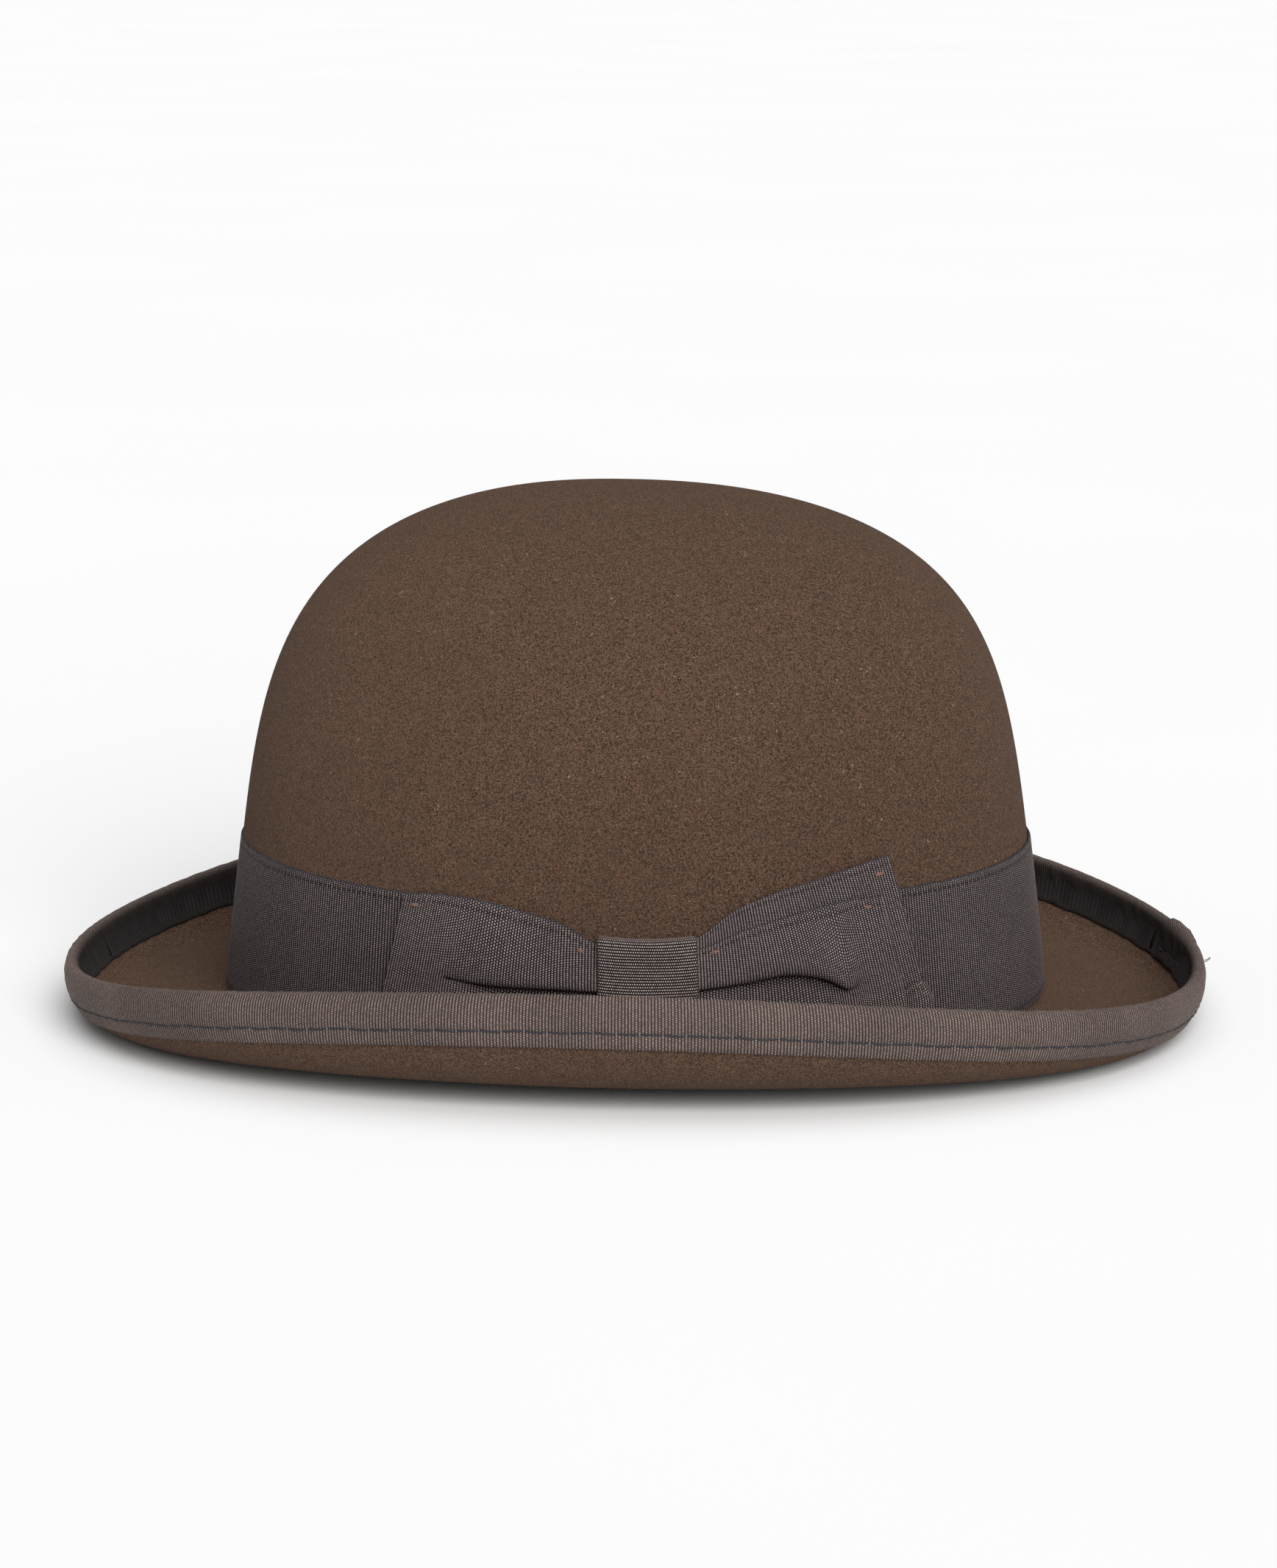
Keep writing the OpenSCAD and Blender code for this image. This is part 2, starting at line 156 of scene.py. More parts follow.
def rim_pt(t):
    return edge_pt(t, 0, FELT_T / 2)


def crown_pt(t, z, inset):
    """Points on the crown, at height z and at a depth below the felt's outer surface."""
    h = CROWN_H - inset
    u = np.minimum(1, z / h)
    lean, full = around(t, *LEAN), around(t, *FULL)
    dome = np.maximum(0, 1 - u ** full) ** (1 / TOP_ROUND)
    ox, oy = oval(t)
    return np.stack([(FELT_A - inset - lean * z) * dome * ox - TOP_FORWARD * u * u,
                     (FELT_B - inset - lean * z) * dome * oy,
                     REST_Z + z + break_drop(t) * (1 - u)], -1)


def bow_dir(x):
    a = FELT_A - LEAN[2] * KNOT_Z
    return 270 + np.sign(x) * np.degrees(np.arcsin((np.abs(x) / a) ** (OVAL_N / 2)))


def bow_pt(x, z, out):
    """Points on the left of the crown, x behind its middle and a distance out from the felt."""
    return crown_pt(bow_dir(np.asarray(x, float)), z, -np.asarray(out, float))


def smooth(points, q):
    """A smooth curve through rows of points, at shares q of the way along it."""
    p = np.asarray(points, float)
    n = len(p) - 1
    k = np.clip((q * n).astype(int), 0, n - 1)
    f = (q * n - k).reshape(-1, *[1] * (p.ndim - 1))
    pad = np.concatenate([[2 * p[0] - p[1]], p, [2 * p[-1] - p[-2]]])
    a, b, c, d = (pad[k + i] for i in range(4))
    return b + 0.5 * f * ((c - a) + f * ((2 * a - 5 * b + 4 * c - d) + f * (3 * b - a - 3 * c + d)))


def step(low, high, x):
    f = np.clip((x - low) / (high - low), 0, 1)
    return f * f * (3 - 2 * f)


def wander(share, swings, size, seed):
    """A smooth, repeating random wave: about that many swings over a share from 0 to 1."""
    rng = np.random.default_rng(seed)
    total = 0
    for k in range(6):
        turns = max(1, round(swings * rng.uniform(0.5, 1.5)))
        total = total + np.sin(2 * np.pi * (turns * share + rng.uniform())) * rng.uniform(0.4, 1)
    return size * total / 2.2


def run_along(points):
    """Distances along a line of points, from its first."""
    return np.concatenate([[0], np.cumsum(np.linalg.norm(np.diff(points, axis=0), axis=1))])


def even_ring(row, pitch, per_pitch):
    """Directions evenly spaced along a ring with a whole number of pitches, and the pitches so far."""
    t = np.linspace(0, 360, 3601)
    run = run_along(row(t))
    count = round(run[-1] / pitch)
    even = np.linspace(0, run[-1], count * per_pitch + 1)
    return np.interp(even, run, t), even / run[-1] * count


def stitch_arch(u, dip):
    """How far along its stitch each point is, and how far its thread is out of the cloth. u counts
    stitches, and dip is the share of one that each end takes to come out."""
    f = u - np.floor(u)
    return f, step(0.0, dip, f) * (1 - step(1 - dip, 1.0, f))


def rib_relief(u, depth=RIB_DEPTH):
    """Depth of the valleys between ribs, where each whole u is the top of a rib."""
    return depth * (np.abs(np.cos(np.pi * u)) ** 0.8 - 1)


# ---- meshes

def grid(points, u, v, wrap_rows=False, wrap_cols=False, poles=()):
    """Faces over a grid of points, with a u and a v for each corner: (points, faces, uvs). A
    wrapped side has one more u and v than points, to close it. Two poles close the first and the
    last row with triangles, whose fourth corner is -1."""
    m, n = points.shape[:2]
    r, c = np.meshgrid(np.arange(m if wrap_rows else m - 1), np.arange(n if wrap_cols else n - 1),
                       indexing="ij")
    r, c = r.ravel(), c.ravel()
    corners = [(r, c), (r, c + 1), (r + 1, c + 1), (r + 1, c)]
    faces = np.stack([(a % m) * n + b % n for a, b in corners], -1)
    shape = (m + wrap_rows, n + wrap_cols)
    u, v = np.broadcast_to(u, shape), np.broadcast_to(v, shape)
    uvs = np.stack([np.stack([u[a, b], v[a, b]], -1) for a, b in corners], 1)
    points = points.reshape(-1, 3)
    k = np.arange(n)
    none = np.full(n, -1)
    for pole, row in zip(poles, (0, m - 1)):
        tip = np.full(n, len(points))
        a, b = row * n + k, row * n + (k + 1) % n
        fan = [tip, b, a, none] if row == 0 else [a, b, tip, none]
        at = np.stack([u[row, k], v[row, k]], -1)
        faces = np.concatenate([faces, np.stack(fan, -1)])
        uvs = np.concatenate([uvs, np.repeat(at[:, None], 4, 1)])
        points = np.vstack([points, pole])
    return points, faces, uvs


def ring(rows, u, v):
    """Rows round a section that goes round the hat, as one closed surface."""
    return grid(np.stack(rows), u[None], np.append(v, v[0])[:, None], True, True)


def joined(parts):
    """Several (points, faces, uvs) as one."""
    starts = np.cumsum([0] + [len(p[0]) for p in parts[:-1]])
    return (np.concatenate([p[0] for p in parts]),
            np.concatenate([np.where(p[1] < 0, -1, p[1] + s) for p, s in zip(parts, starts)]),
            np.concatenate([p[2] for p in parts]))


def outward(part):
    """The same closed part with its faces turned outward."""
    points, faces, uvs = part
    a, b, c = (points[faces[:, k]] for k in range(3))
    d = points[np.where(faces[:, 3] < 0, faces[:, 2], faces[:, 3])]
    if np.sum(np.cross(a, b) * c) + np.sum(np.cross(a, c) * d) > 0:
        return part
    quad = faces[:, 3] >= 0
    turn = np.where(quad[:, None], [3, 2, 1, 0], [2, 1, 0, 3])
    return points, np.take_along_axis(faces, turn, 1), np.take_along_axis(uvs, turn[..., None], 1)


def new_object(name, data):
    thing = bpy.data.objects.new(name, data)
    bpy.context.collection.objects.link(thing)
    return thing


def make_piece(name, part, material, node):
    """An object from (points in mm, faces, uvs) that rides the hat and stands for a CAD node."""
    points, faces, uvs = outward(part)
    there = faces >= 0
    sizes = there.sum(1)
    mesh = bpy.data.meshes.new(name)
    mesh.vertices.add(len(points))
    mesh.vertices.foreach_set("co", (points * MM).ravel())
    mesh.loops.add(int(sizes.sum()))
    mesh.loops.foreach_set("vertex_index", faces[there].astype(np.int32))
    mesh.polygons.add(len(faces))
    mesh.polygons.foreach_set("loop_start", (np.cumsum(sizes) - sizes).astype(np.int32))
    mesh.update(calc_edges=True)
    mesh.uv_layers.new(name="weave").data.foreach_set("uv", uvs[there].astype(np.float32).ravel())
    mesh.shade_smooth()
    mesh.materials.append(material)
    piece = new_object(name, mesh)
    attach(piece, BODY)
    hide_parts(node)
    return piece


def tube(path, radius, sides=6, closed=False):
    """A round thread along a path. Its u is the length along it and its v goes once round it."""
    path = np.asarray(path, float)
    ahead = np.roll(path, -1, 0) - np.roll(path, 1, 0) if closed else np.gradient(path, axis=0)
    ahead /= np.linalg.norm(ahead, axis=1)[:, None]
    side = np.cross(ahead, [0.02, 0.03, 1.0])
    side /= np.linalg.norm(side, axis=1)[:, None]
    up = np.cross(side, ahead)
    a = 2 * np.pi * np.arange(sides)[:, None] / sides
    skin = path[:, None] + radius * (np.cos(a) * side[:, None] + np.sin(a) * up[:, None])
    run = run_along(np.vstack([path, path[:1]]) if closed else path)
    poles = () if closed else (path[0], path[-1])
    return outward(grid(skin, run[:, None], np.linspace(0, 1, sides + 1)[None], closed, True, poles))


# ---- materials

class Nodes:
    """A material's nodes, made one line at a time."""

    def __init__(self, name):
        self.material = bpy.data.materials.new(name)
        self.material.use_nodes = True
        self.tree = self.material.node_tree
        self.shader = self.tree.nodes["Principled BSDF"]

    def add(self, kind, values=(), **settings):
        node = self.tree.nodes.new("ShaderNode" + kind)
        for key, value in settings.items():
            setattr(node, key, value)
        for key, value in dict(values).items():
            self.put(node.inputs[key], value)
        return node

    def put(self, socket, value):
        if isinstance(value, bpy.types.NodeSocket):
            self.tree.links.new(value, socket)
        else:
            socket.default_value = value

    def math(self, operation, *values):
        node = self.add("Math", operation=operation)
        for socket, value in zip(node.inputs, values):
            self.put(socket, value)
        return node.outputs[0]

    def times(self, a, b):
        return self.math("MULTIPLY", a, b)

    def plus(self, a, b):
        return self.math("ADD", a, b)

    def minus(self, a, b):
        return self.math("SUBTRACT", a, b)

    def ramp(self, value, low, high, out_low=0.0, out_high=1.0):
        node = self.add("MapRange", interpolation_type="SMOOTHSTEP",
                        values={"Value": value, "From Min": low, "From Max": high,
                                "To Min": out_low, "To Max": out_high})
        return node.outputs["Result"]

    def mix(self, share, a, b, blend="MIX"):
        node = self.add("Mix", data_type="RGBA", blend_type=blend)
        for socket, value in zip((node.inputs[0], node.inputs[6], node.inputs[7]), (share, a, b)):
            self.put(socket, value)
        return node.outputs[2]

    def noise(self, scale, detail=2.0, vector=None, distortion=0.0):
        values = {"Scale": scale, "Detail": detail, "Distortion": distortion,
                  "Vector": vector or self.place()}
        return self.add("TexNoise", values=values).outputs["Fac"]

    def vector(self, x, y, z=0.0):
        return self.add("CombineXYZ", values={"X": x, "Y": y, "Z": z}).outputs[0]

    def place(self):
        """Where a point is on the object, in metres."""
        if not hasattr(self, "where"):
            self.where = self.add("TexCoord").outputs["Object"]
        return self.where

    def uv(self):
        split = self.add("SeparateXYZ", values={"Vector": self.add("UVMap", uv_map="weave").outputs[0]})
        return split.outputs["X"], split.outputs["Y"]

    def relief(self, height, distance, strength=1.0, under=None):
        values = {"Height": height, "Distance": distance, "Strength": strength}
        if under is not None:
            values["Normal"] = under
        return self.add("Bump", values=values).outputs["Normal"]

    def finish(self, **sockets):
        for key, value in sockets.items():
            self.put(self.shader.inputs[key.replace("_", " ")], value)
        return self.material


def colour(r, g, b):
    """A colour from display values of 0 to 255."""
    values = [c / 255 for c in (r, g, b)]
    return [c / 12.92 if c < 0.04045 else ((c + 0.055) / 1.055) ** 2.4 for c in values] + [1]


def scaled(c, f):
    return [x * f for x in c[:3]] + [1]


def felt_material():
    """Fur felt: a dense nap of very short curling fibres in several browns, brushed soft."""
    n = Nodes("felt")
    base = colour(88, 66, 53)
    grain = n.noise(2900, 1, distortion=1.0)
    curl = n.noise(1700, 1, distortion=3.2)
    nap = n.ramp(n.math("ABSOLUTE", n.minus(curl, 0.5)), 0.0, 0.026, 1.0, 0.0)
    cloud = n.noise(28, 3)
    patch = n.noise(420, 2, distortion=0.8)
    shade = n.mix(n.ramp(grain, 0.4, 0.6), scaled(base, 0.14), scaled(base, 1.7))
    shade = n.mix(n.times(nap, 0.85), shade, colour(172, 141, 118))
    shade = n.mix(n.ramp(patch, 0.35, 0.65, 0.0, 0.12), shade, scaled(base, 0.5))
    shade = n.mix(n.ramp(cloud, 0.35, 0.65, 0.0, 0.14), shade, scaled(base, 0.8))
    speck = n.ramp(n.noise(760, 1, distortion=2.2), 0.72, 0.78)
    shade = n.mix(n.times(speck, 0.7), shade, colour(180, 152, 128))
    rust = n.ramp(n.noise(610, 1, distortion=1.4), 0.69, 0.75)
    shade = n.mix(n.times(rust, 0.35), shade, colour(128, 78, 56))
    soft = n.relief(patch, 0.0003, 0.4)
    height = n.plus(grain, n.times(nap, 0.6))
    normal = n.relief(height, 0.0005, 1.0, soft)
    return n.finish(Base_Color=shade, Roughness=n.ramp(grain, 0.3, 0.7, 0.86, 0.97), Normal=normal,
                    Sheen_Weight=0.16, Sheen_Roughness=0.55, Sheen_Tint=colour(190, 160, 138),
                    Specular_IOR_Level=0.12)


DOT_HALF_WIDTH, DOT_HALF_LENGTH = 0.37, 0.41  # in ribs and in threads
SELVEDGE_LINE = 3.5  # threads from the selvedge to the dark one beside it
WEAR = 0.12  # how far the ribbon's tone wanders either way


def grosgrain(name, light, dark, width, line=0.0, inner_shade=0.0):
    """Ribbed ribbon. u counts its ribs and v its warp threads, which float over every second rib as
    light dots, each painted lighter at its crest, on a near-black that is partly the weft and partly
    painted shade in the gaps between the floats. width is the threads across it, line how strong the
    dark thread beside its selvedge is, and the last argument how much painted shade darkens the half
    past its middle."""
    n = Nodes(name)
    u, v = n.uv()
    drift = n.times(n.minus(n.noise(300, 1), 0.5), 0.5)
    rib = n.math("ROUND", u)
    across = n.minus(u, rib)
    odd = n.times(n.math("PINGPONG", rib, 1.0), 0.5)
    place = n.plus(n.plus(v, odd), drift)
    cell = n.math("FLOOR", place)
    along = n.minus(n.minus(place, cell), 0.5)
    away = n.plus(n.math("POWER", n.math("DIVIDE", across, DOT_HALF_WIDTH), 2.0),
                  n.math("POWER", n.math("DIVIDE", along, DOT_HALF_LENGTH), 2.0))
    # Each float fades from its middle to its ends: a painted highlight on its crest.
    dot = n.ramp(away, 0.25, 1.1, 1.0, 0.0)
    cells = n.vector(rib, cell)
    spread = n.add("TexWhiteNoise", noise_dimensions="2D", values={"Vector": cells}).outputs["Value"]
    lit = n.mix(spread, scaled(light, 0.74), scaled(light, 1.26))
    # The near-black under the dots is partly the weft's colour and partly painted shade in the gaps
    # between the floats.
    weft_and_gap_shade = n.mix(n.noise(1500, 1), scaled(dark, 0.7), scaled(dark, 1.3))
    shade = n.mix(dot, weft_and_gap_shade, lit)
    tone = n.ramp(n.noise(34, 3), 0.3, 0.7, 1.0 - WEAR, 1.0 + WEAR)
    shade = n.mix(1.0, shade, n.vector(tone, tone, tone), "MULTIPLY")
    edge = n.math("MINIMUM", v, n.minus(float(width), v))
    selvedge = n.ramp(edge, 0.3, 1.0, 0.7, 0.0)
    shade = n.mix(selvedge, shade, colour(36, 37, 43))
    if line:
        beside = n.ramp(n.math("ABSOLUTE", n.minus(edge, SELVEDGE_LINE)), 0.3, 0.9, line, 0.0)
        every_second = n.times(odd, 2.0)
        shade = n.mix(n.times(beside, every_second), shade, scaled(dark, 0.5))
    # Painted shade: the half past the middle, which on the binding lies inside the brim, is darkened
    # towards near-black.
    if inner_shade:
        inside = n.ramp(v, width * 0.47, width * 0.6, 0.0, inner_shade)
        shade = n.mix(inside, shade, scaled(dark, 0.12))
    height = n.plus(dot, n.times(n.noise(2600, 1), 0.35))
    return n.finish(Base_Color=shade, Roughness=n.ramp(dot, 0, 1, 0.86, 0.62),
                    Normal=n.relief(height, 0.00009, 0.8), Sheen_Weight=0.04, Sheen_Roughness=0.5,
                    Sheen_Tint=colour(190, 180, 178), Specular_IOR_Level=0.22)


def thread_material(name, base):
    """Twisted sewing thread: u is the length along it in mm, and v goes once round it."""
    n = Nodes(name)
    u, v = n.uv()
    turn = n.plus(n.math("DIVIDE", u, TWIST), n.times(v, 2.0))
    strand = n.math("ABSOLUTE", n.math("SINE", n.times(turn, math.pi)))
    # The grooves between the twisted strands are painted darker and the strands' crests lighter: painted
    # shade and highlight.
    shade = n.mix(n.ramp(strand, 0.0, 0.8), scaled(base, 0.45), scaled(base, 1.25))
    shade = n.mix(n.ramp(n.noise(900, 2), 0.35, 0.65, 0, 0.35), shade, scaled(base, 0.7))
    return n.finish(Base_Color=shade, Roughness=n.ramp(strand, 0, 1, 0.8, 0.55),
                    Normal=n.relief(strand, 0.00008, 0.9), Sheen_Weight=0.03)


TOOLED_LINE = 3.2  # from the leather's upper edge to the line pressed into it


def leather_material():
    """Tan leather: fine pored grain, darker in its creases and rubbed lighter at its edges."""
    n = Nodes("leather")
    v = n.uv()[1]
    pores = n.add("TexVoronoi", feature="DISTANCE_TO_EDGE", values={
        "Scale": 1700.0, "Vector": n.place()}).outputs["Distance"]
    crease = n.ramp(pores, 0.0, 0.2)
    cloud = n.noise(45, 4)
    base = colour(116, 76, 49)
    shade = n.mix(n.ramp(cloud, 0.3, 0.7), scaled(base, 0.78), scaled(base, 1.12))
    shade = n.mix(crease, scaled(base, 0.72), shade)
    rub = n.ramp(n.math("MINIMUM", v, n.minus(float(LEATHER_W), v)), 0.2, 1.6, 0.55, 0.0)
    shade = n.mix(rub, shade, scaled(base, 1.7))
    line = n.math("ABSOLUTE", n.minus(v, LEATHER_W - TOOLED_LINE))
    tooled = n.ramp(line, 0.15, 0.55)
    shade = n.mix(tooled, scaled(base, 0.4), shade)
    height = n.plus(n.times(crease, 0.5), n.times(n.noise(160, 3), 0.9))
    normal = n.relief(n.plus(height, tooled), 0.00015, 0.5)
    return n.finish(Base_Color=shade, Roughness=n.ramp(cloud, 0.3, 0.7, 0.42, 0.58), Normal=normal,
                    Specular_IOR_Level=0.45, Coat_Weight=0.08, Coat_Roughness=0.4)


def satin_material(name, base):
    """Satin: warp-faced and glossy, with a very fine twill line and a slight shot of colour."""
    n = Nodes(name)
    u, v = n.uv()
    twill = n.math("SINE", n.times(n.plus(n.times(u, 2.0), v), 8.0))
    streak = n.noise(1.0, vector=n.vector(n.times(u, 6.0), n.times(v, 0.35)))
    shade = n.mix(n.ramp(streak, 0.3, 0.7), scaled(base, 0.88), scaled(base, 1.1))
    shade = n.mix(n.ramp(n.noise(30, 2), 0.3, 0.7, 0, 0.3), shade, scaled(base, 0.84))
    height = n.plus(n.times(twill, 0.3), streak)
    return n.finish(Base_Color=shade, Roughness=n.ramp(streak, 0.2, 0.8, 0.3, 0.42),
                    Normal=n.relief(height, 0.00006, 0.5), Sheen_Weight=0.25, Sheen_Roughness=0.3,
                    Specular_IOR_Level=0.6, Anisotropic=0.5)


def reed_material():
    n = Nodes("reed")
    lines = n.noise(1200, 2)
    base = colour(206, 198, 180)
    shade = n.mix(n.ramp(lines, 0.3, 0.7), scaled(base, 0.8), base)
    return n.finish(Base_Color=shade, Roughness=n.ramp(lines, 0.3, 0.7, 0.45, 0.6),
                    Normal=n.relief(lines, 0.00005, 0.5))


def floor_material():
    n = Nodes("floor")
    tone = n.ramp(n.noise(3, 2), 0.2, 0.8, 0.9, 0.915)
    return n.finish(Base_Color=n.vector(tone, tone, tone), Roughness=0.95, Specular_IOR_Level=0.0)


# Warp threads across each ribbon. The tape's far selvedge is hidden, so it is put out of reach
THREADS = {"band": BAND_W / THREAD_PITCH, "bow": BOW_RIBBON_W / THREAD_PITCH,
           "knot": KNOT_W / THREAD_PITCH, "tape": 200}
FELT = felt_material()
DARK_THREAD = thread_material("dark_thread", colour(26, 29, 38))
RUST_THREAD = thread_material("rust_thread", colour(142, 104, 88))
TAN_THREAD = thread_material("tan_thread", colour(150, 118, 82))

# ---- felt

FELT_TURNS = 400
CROWN_ROWS, BRIM_ROWS, EDGE_ROWS, INNER_ROWS = 78, 40, 5, 16
DOME_EASE = 2.4  # how much closer the rows are towards the crown's top
CROWN_WAVER, BRIM_WAVER = 0.16, 0.12
EDGE_BULGE = 0.38 * FELT_T
UNDER_LIFT = 0.12  # keeps the brim's uneven underside off the floor
CORNER = (0.3, 0.6)  # how far round the corner of the crown and brim its rows are


def uneven(t, s, size, seed):
    """The slight unevenness of hand-blocked felt, over direction t and distance s."""
    rng = np.random.default_rng(seed)
    total = 0
    for k in range(10):
        turns, wave = rng.integers(1, 7), rng.uniform(-1, 1) / 16
        total = total + np.sin(turns * rad(t) + wave * s + rng.uniform(0, 6.3)) / (1 + turns / 3)
    return size * total / 2.4


def bend(p, q, r, s):
    """A point s of the way round the corner from p to r at q."""
    return (1 - s) ** 2 * p + 2 * s * (1 - s) * q + s * s * r


def felt_body():
    t = np.linspace(0, 360, FELT_TURNS + 1)[:-1]
    wall_z = FELT_T + FELT_FILLET
    rows = []
    run = brim_len(t)
    for k in range(CROWN_ROWS):
        q = 1 - (k + 1) / CROWN_ROWS
        z = wall_z + (CROWN_H - wall_z) * (1 - (1 - q) ** DOME_EASE)
        rows.append(crown_pt(t, z, -uneven(t, z, CROWN_WAVER, 11) * (1 - (z / CROWN_H) ** 12)))
    start = brim_pt(t, run * BRIM_START, FELT_T)
    for s in CORNER:
        rows.append(bend(rows[CROWN_ROWS - 1], from_foot(t, -BAND_OUT, FELT_T), start, s))
    shares = BRIM_START + (1 - BRIM_START) * np.linspace(0, 1, BRIM_ROWS)
    waver = [uneven(t, 60 + 40 * q, BRIM_WAVER, 12) for q in shares]
    for q, w in zip(shares, waver):
        rows.append(brim_pt(t, run * q, FELT_T + w * (1 - q)))
    for a in np.radians(np.linspace(60, -60, EDGE_ROWS)):
        rows.append(edge_pt(t, -EDGE_BULGE * np.cos(a), FELT_T / 2 * (1 + np.sin(a))))
    for q, w in zip(shares[::-1], waver[::-1]):
        rows.append(brim_pt(t, run * q, (UNDER_LIFT + w) * (1 - q)))
    start = rows[-1]
    inner = crown_pt(t, INNER_FILLET, FELT_T)
    for s in CORNER:
        rows.append(bend(start, from_foot(t, -BAND_OUT - FELT_T, 0), inner, s))
    h = CROWN_H - FELT_T
    for k in range(INNER_ROWS):
        q = k / INNER_ROWS
        z = INNER_FILLET + (h - INNER_FILLET) * (1 - (1 - q) ** DOME_EASE)
        rows.append(crown_pt(t, z, FELT_T))
    top = np.array([-TOP_FORWARD, 0, REST_Z + CROWN_H])
    poles = (top, top - [0, 0, FELT_T])
    part = grid(np.stack(rows), np.linspace(0, 1, FELT_TURNS + 1)[None],
                np.linspace(0, 1, len(rows))[:, None], wrap_cols=True, poles=poles)
    make_piece("felt_crown_and_brim", part, FELT, "felt_body")


# ---- ribbons round the hat

def band_top(t):
    along = np.abs(crown_pt(t, BAND_Z, 0)[..., 0] - KNOT_X) / DIP_REACH
    return BAND_Z + BAND_W - np.where(np.sin(rad(t)) < 0, BAND_DIP * np.exp(-along ** DIP_SHARP), 0)


def hat_band():
    """The band, with its ribs upright and its selvedges a little proud."""
    t, u = even_ring(lambda a: crown_pt(a, BAND_Z + BAND_W / 2, -BAND_OUT), RIB, SAMPLES_PER_RIB)
    share = u / u[-1]
    top = band_top(t)
    # Each row: share of the way up, distance out of its face, how deep its ribs are
    full = [(f, RIBBON_T, 1) for f in (0.1, 0.25, 0.4, 0.55, 0.7, 0.82, 0.9, 0.955)]
    face = [(0.006, 0.34, 0.3), (0.016, 0.52, 1), *full, (0.984, 0.55, 1), (0.994, 0.36, 0.3)]
    back = [(f, 0.0, 0.0) for f in (1.0, 0.75, 0.5, 0.25, 0.0)]
    rows, v = [], []
    swell = wander(share, 34, 0.09, 21)
    lip = wander(share, 60, 0.12, 22)
    for f, out, ribs in face + back:
        z = BAND_Z + (top - BAND_Z) * f + lip * f ** 4
        shape = out + ribs * rib_relief(u) + (swell * np.sin(np.pi * f) if out else 0)
        rows.append(crown_pt(t, z, -(GAP + shape))[:-1])
        v.append(f * THREADS["band"])
    material = grosgrain("band_ribbon", colour(120, 107, 106), colour(20, 16, 18), THREADS["band"],
                         line=0.8)
    piece = make_piece("hat_band_ribbon", ring(rows, u, v), material, "hat_band")


def seam_from_edge(share):
    """The sewn line's distance from the binding's folded middle, a share of the way round the hat."""
    return BINDING_W - BINDING_SEAM + wander(share, 70, 0.16, 31)


def binding_shape(t, u, d, inside):
    """How far the binding's face stands off the felt, d from the binding's folded middle."""
    share = u / u[-1]
    seam = seam_from_edge(share)
    phase = share * round(u[-1] * BINDING_RIB / BINDING_STITCH)
    groove = np.exp(-((d - seam) / 0.55) ** 2)
    puff = np.exp(-((d - seam) / 2.4) ** 2)
    shape = -0.3 * groove - 0.07 * puff * np.cos(2 * np.pi * phase)
    if inside:
        pucker = np.sin(2 * np.pi * (share * 118 + d / 26) + wander(share, 50, 1.3, 33))
        depth = 0.3 + wander(share, 22, 0.14, 34)
        shape = shape + depth * pucker * np.exp(-((d - 5) / 4.6) ** 2) * (1 - groove)
    run = run_along(rim_pt(t))
    past = np.interp(JOIN_T, t, run) - run
    lap = step(0, 0.9, past) * (1 - step(JOIN_LEN * 0.35, JOIN_LEN, past))
    return shape + JOIN_LIFT * lap


def binding_face(t, u, d, inside):
    """Points on the binding's face, d from its folded middle, outside or inside the brim."""
    thin = 0.25 if d == BINDING_W else 1
    shape = binding_shape(t, u, d, inside) * min(1, (BINDING_W - d) / 0.8 + 0.05)
    ribs = rib_relief(u + 0.5) * thin
    if not inside:
        return edge_pt(t, d, -(GAP + RIBBON_T * thin + shape + ribs))
    shape = np.maximum(shape, -0.3)
    waver = wander(u / u[-1], 90, 0.3, 35) * (d > BINDING_W - 1)
    return edge_pt(t, d + waver, FELT_T + GAP + RIBBON_T * thin + shape + ribs)


def binding_rows(t, u):
    """Points round the binding's section, from its lower edge outside over the rim to its lower
    edge inside and back against the felt, with a v for each row."""
    seam = BINDING_W - BINDING_SEAM
    deep = [BINDING_W, BINDING_W - 0.3, BINDING_W - 1.5, seam + 0.55, seam, seam - 0.55, seam - 1.8,
            seam * 0.5, seam * 0.18]
    rows = [binding_face(t, u, d, False) for d in deep]
    v = [BINDING_W - d for d in deep]
    mid, r = FELT_T / 2, FELT_T / 2 + GAP + RIBBON_T
    lap = binding_shape(t, u, 0.0, False) + rib_relief(u + 0.5) + wander(u / u[-1], 150, 0.06, 37)
    for a in np.radians((-55, -18, 18, 55)):
        rows.append(edge_pt(t, -(r + lap) * np.cos(a), mid + (r + lap) * np.sin(a)))
        v.append(BINDING_W + r * (a + np.pi / 2))
    rows += [binding_face(t, u, d, True) for d in deep[::-1]]
    v += [BINDING_W + np.pi * r + d for d in deep[::-1]]
    near, slant = 0.4, (mid + GAP) * math.cos(math.pi / 4)
    back = [(BINDING_W, FELT_T + GAP), (near, FELT_T + GAP), (-slant, mid + slant),
            (-slant, mid - slant), (near, -GAP), (BINDING_W, -GAP)]
    rows += [edge_pt(t, d, lift + 0 * t) for d, lift in back]
    return rows, v + [v[-1]] * 5 + [0.0]


def brim_binding():
    t, u = even_ring(rim_pt, BINDING_RIB, BINDING_SAMPLES)
    rows, v = binding_rows(t, u)
    width = max(v)
    part = ring(np.stack(rows)[:, :-1], u + 0.5, np.array(v) / BINDING_PITCH)
    # The binding's half inside the brim gets painted shade.
    material = grosgrain("binding_ribbon", colour(133, 117, 110), colour(50, 41, 38),
                         width / BINDING_PITCH, inner_shade=0.86)
    piece = make_piece("brim_binding_ribbon", part, material, "brim_binding")


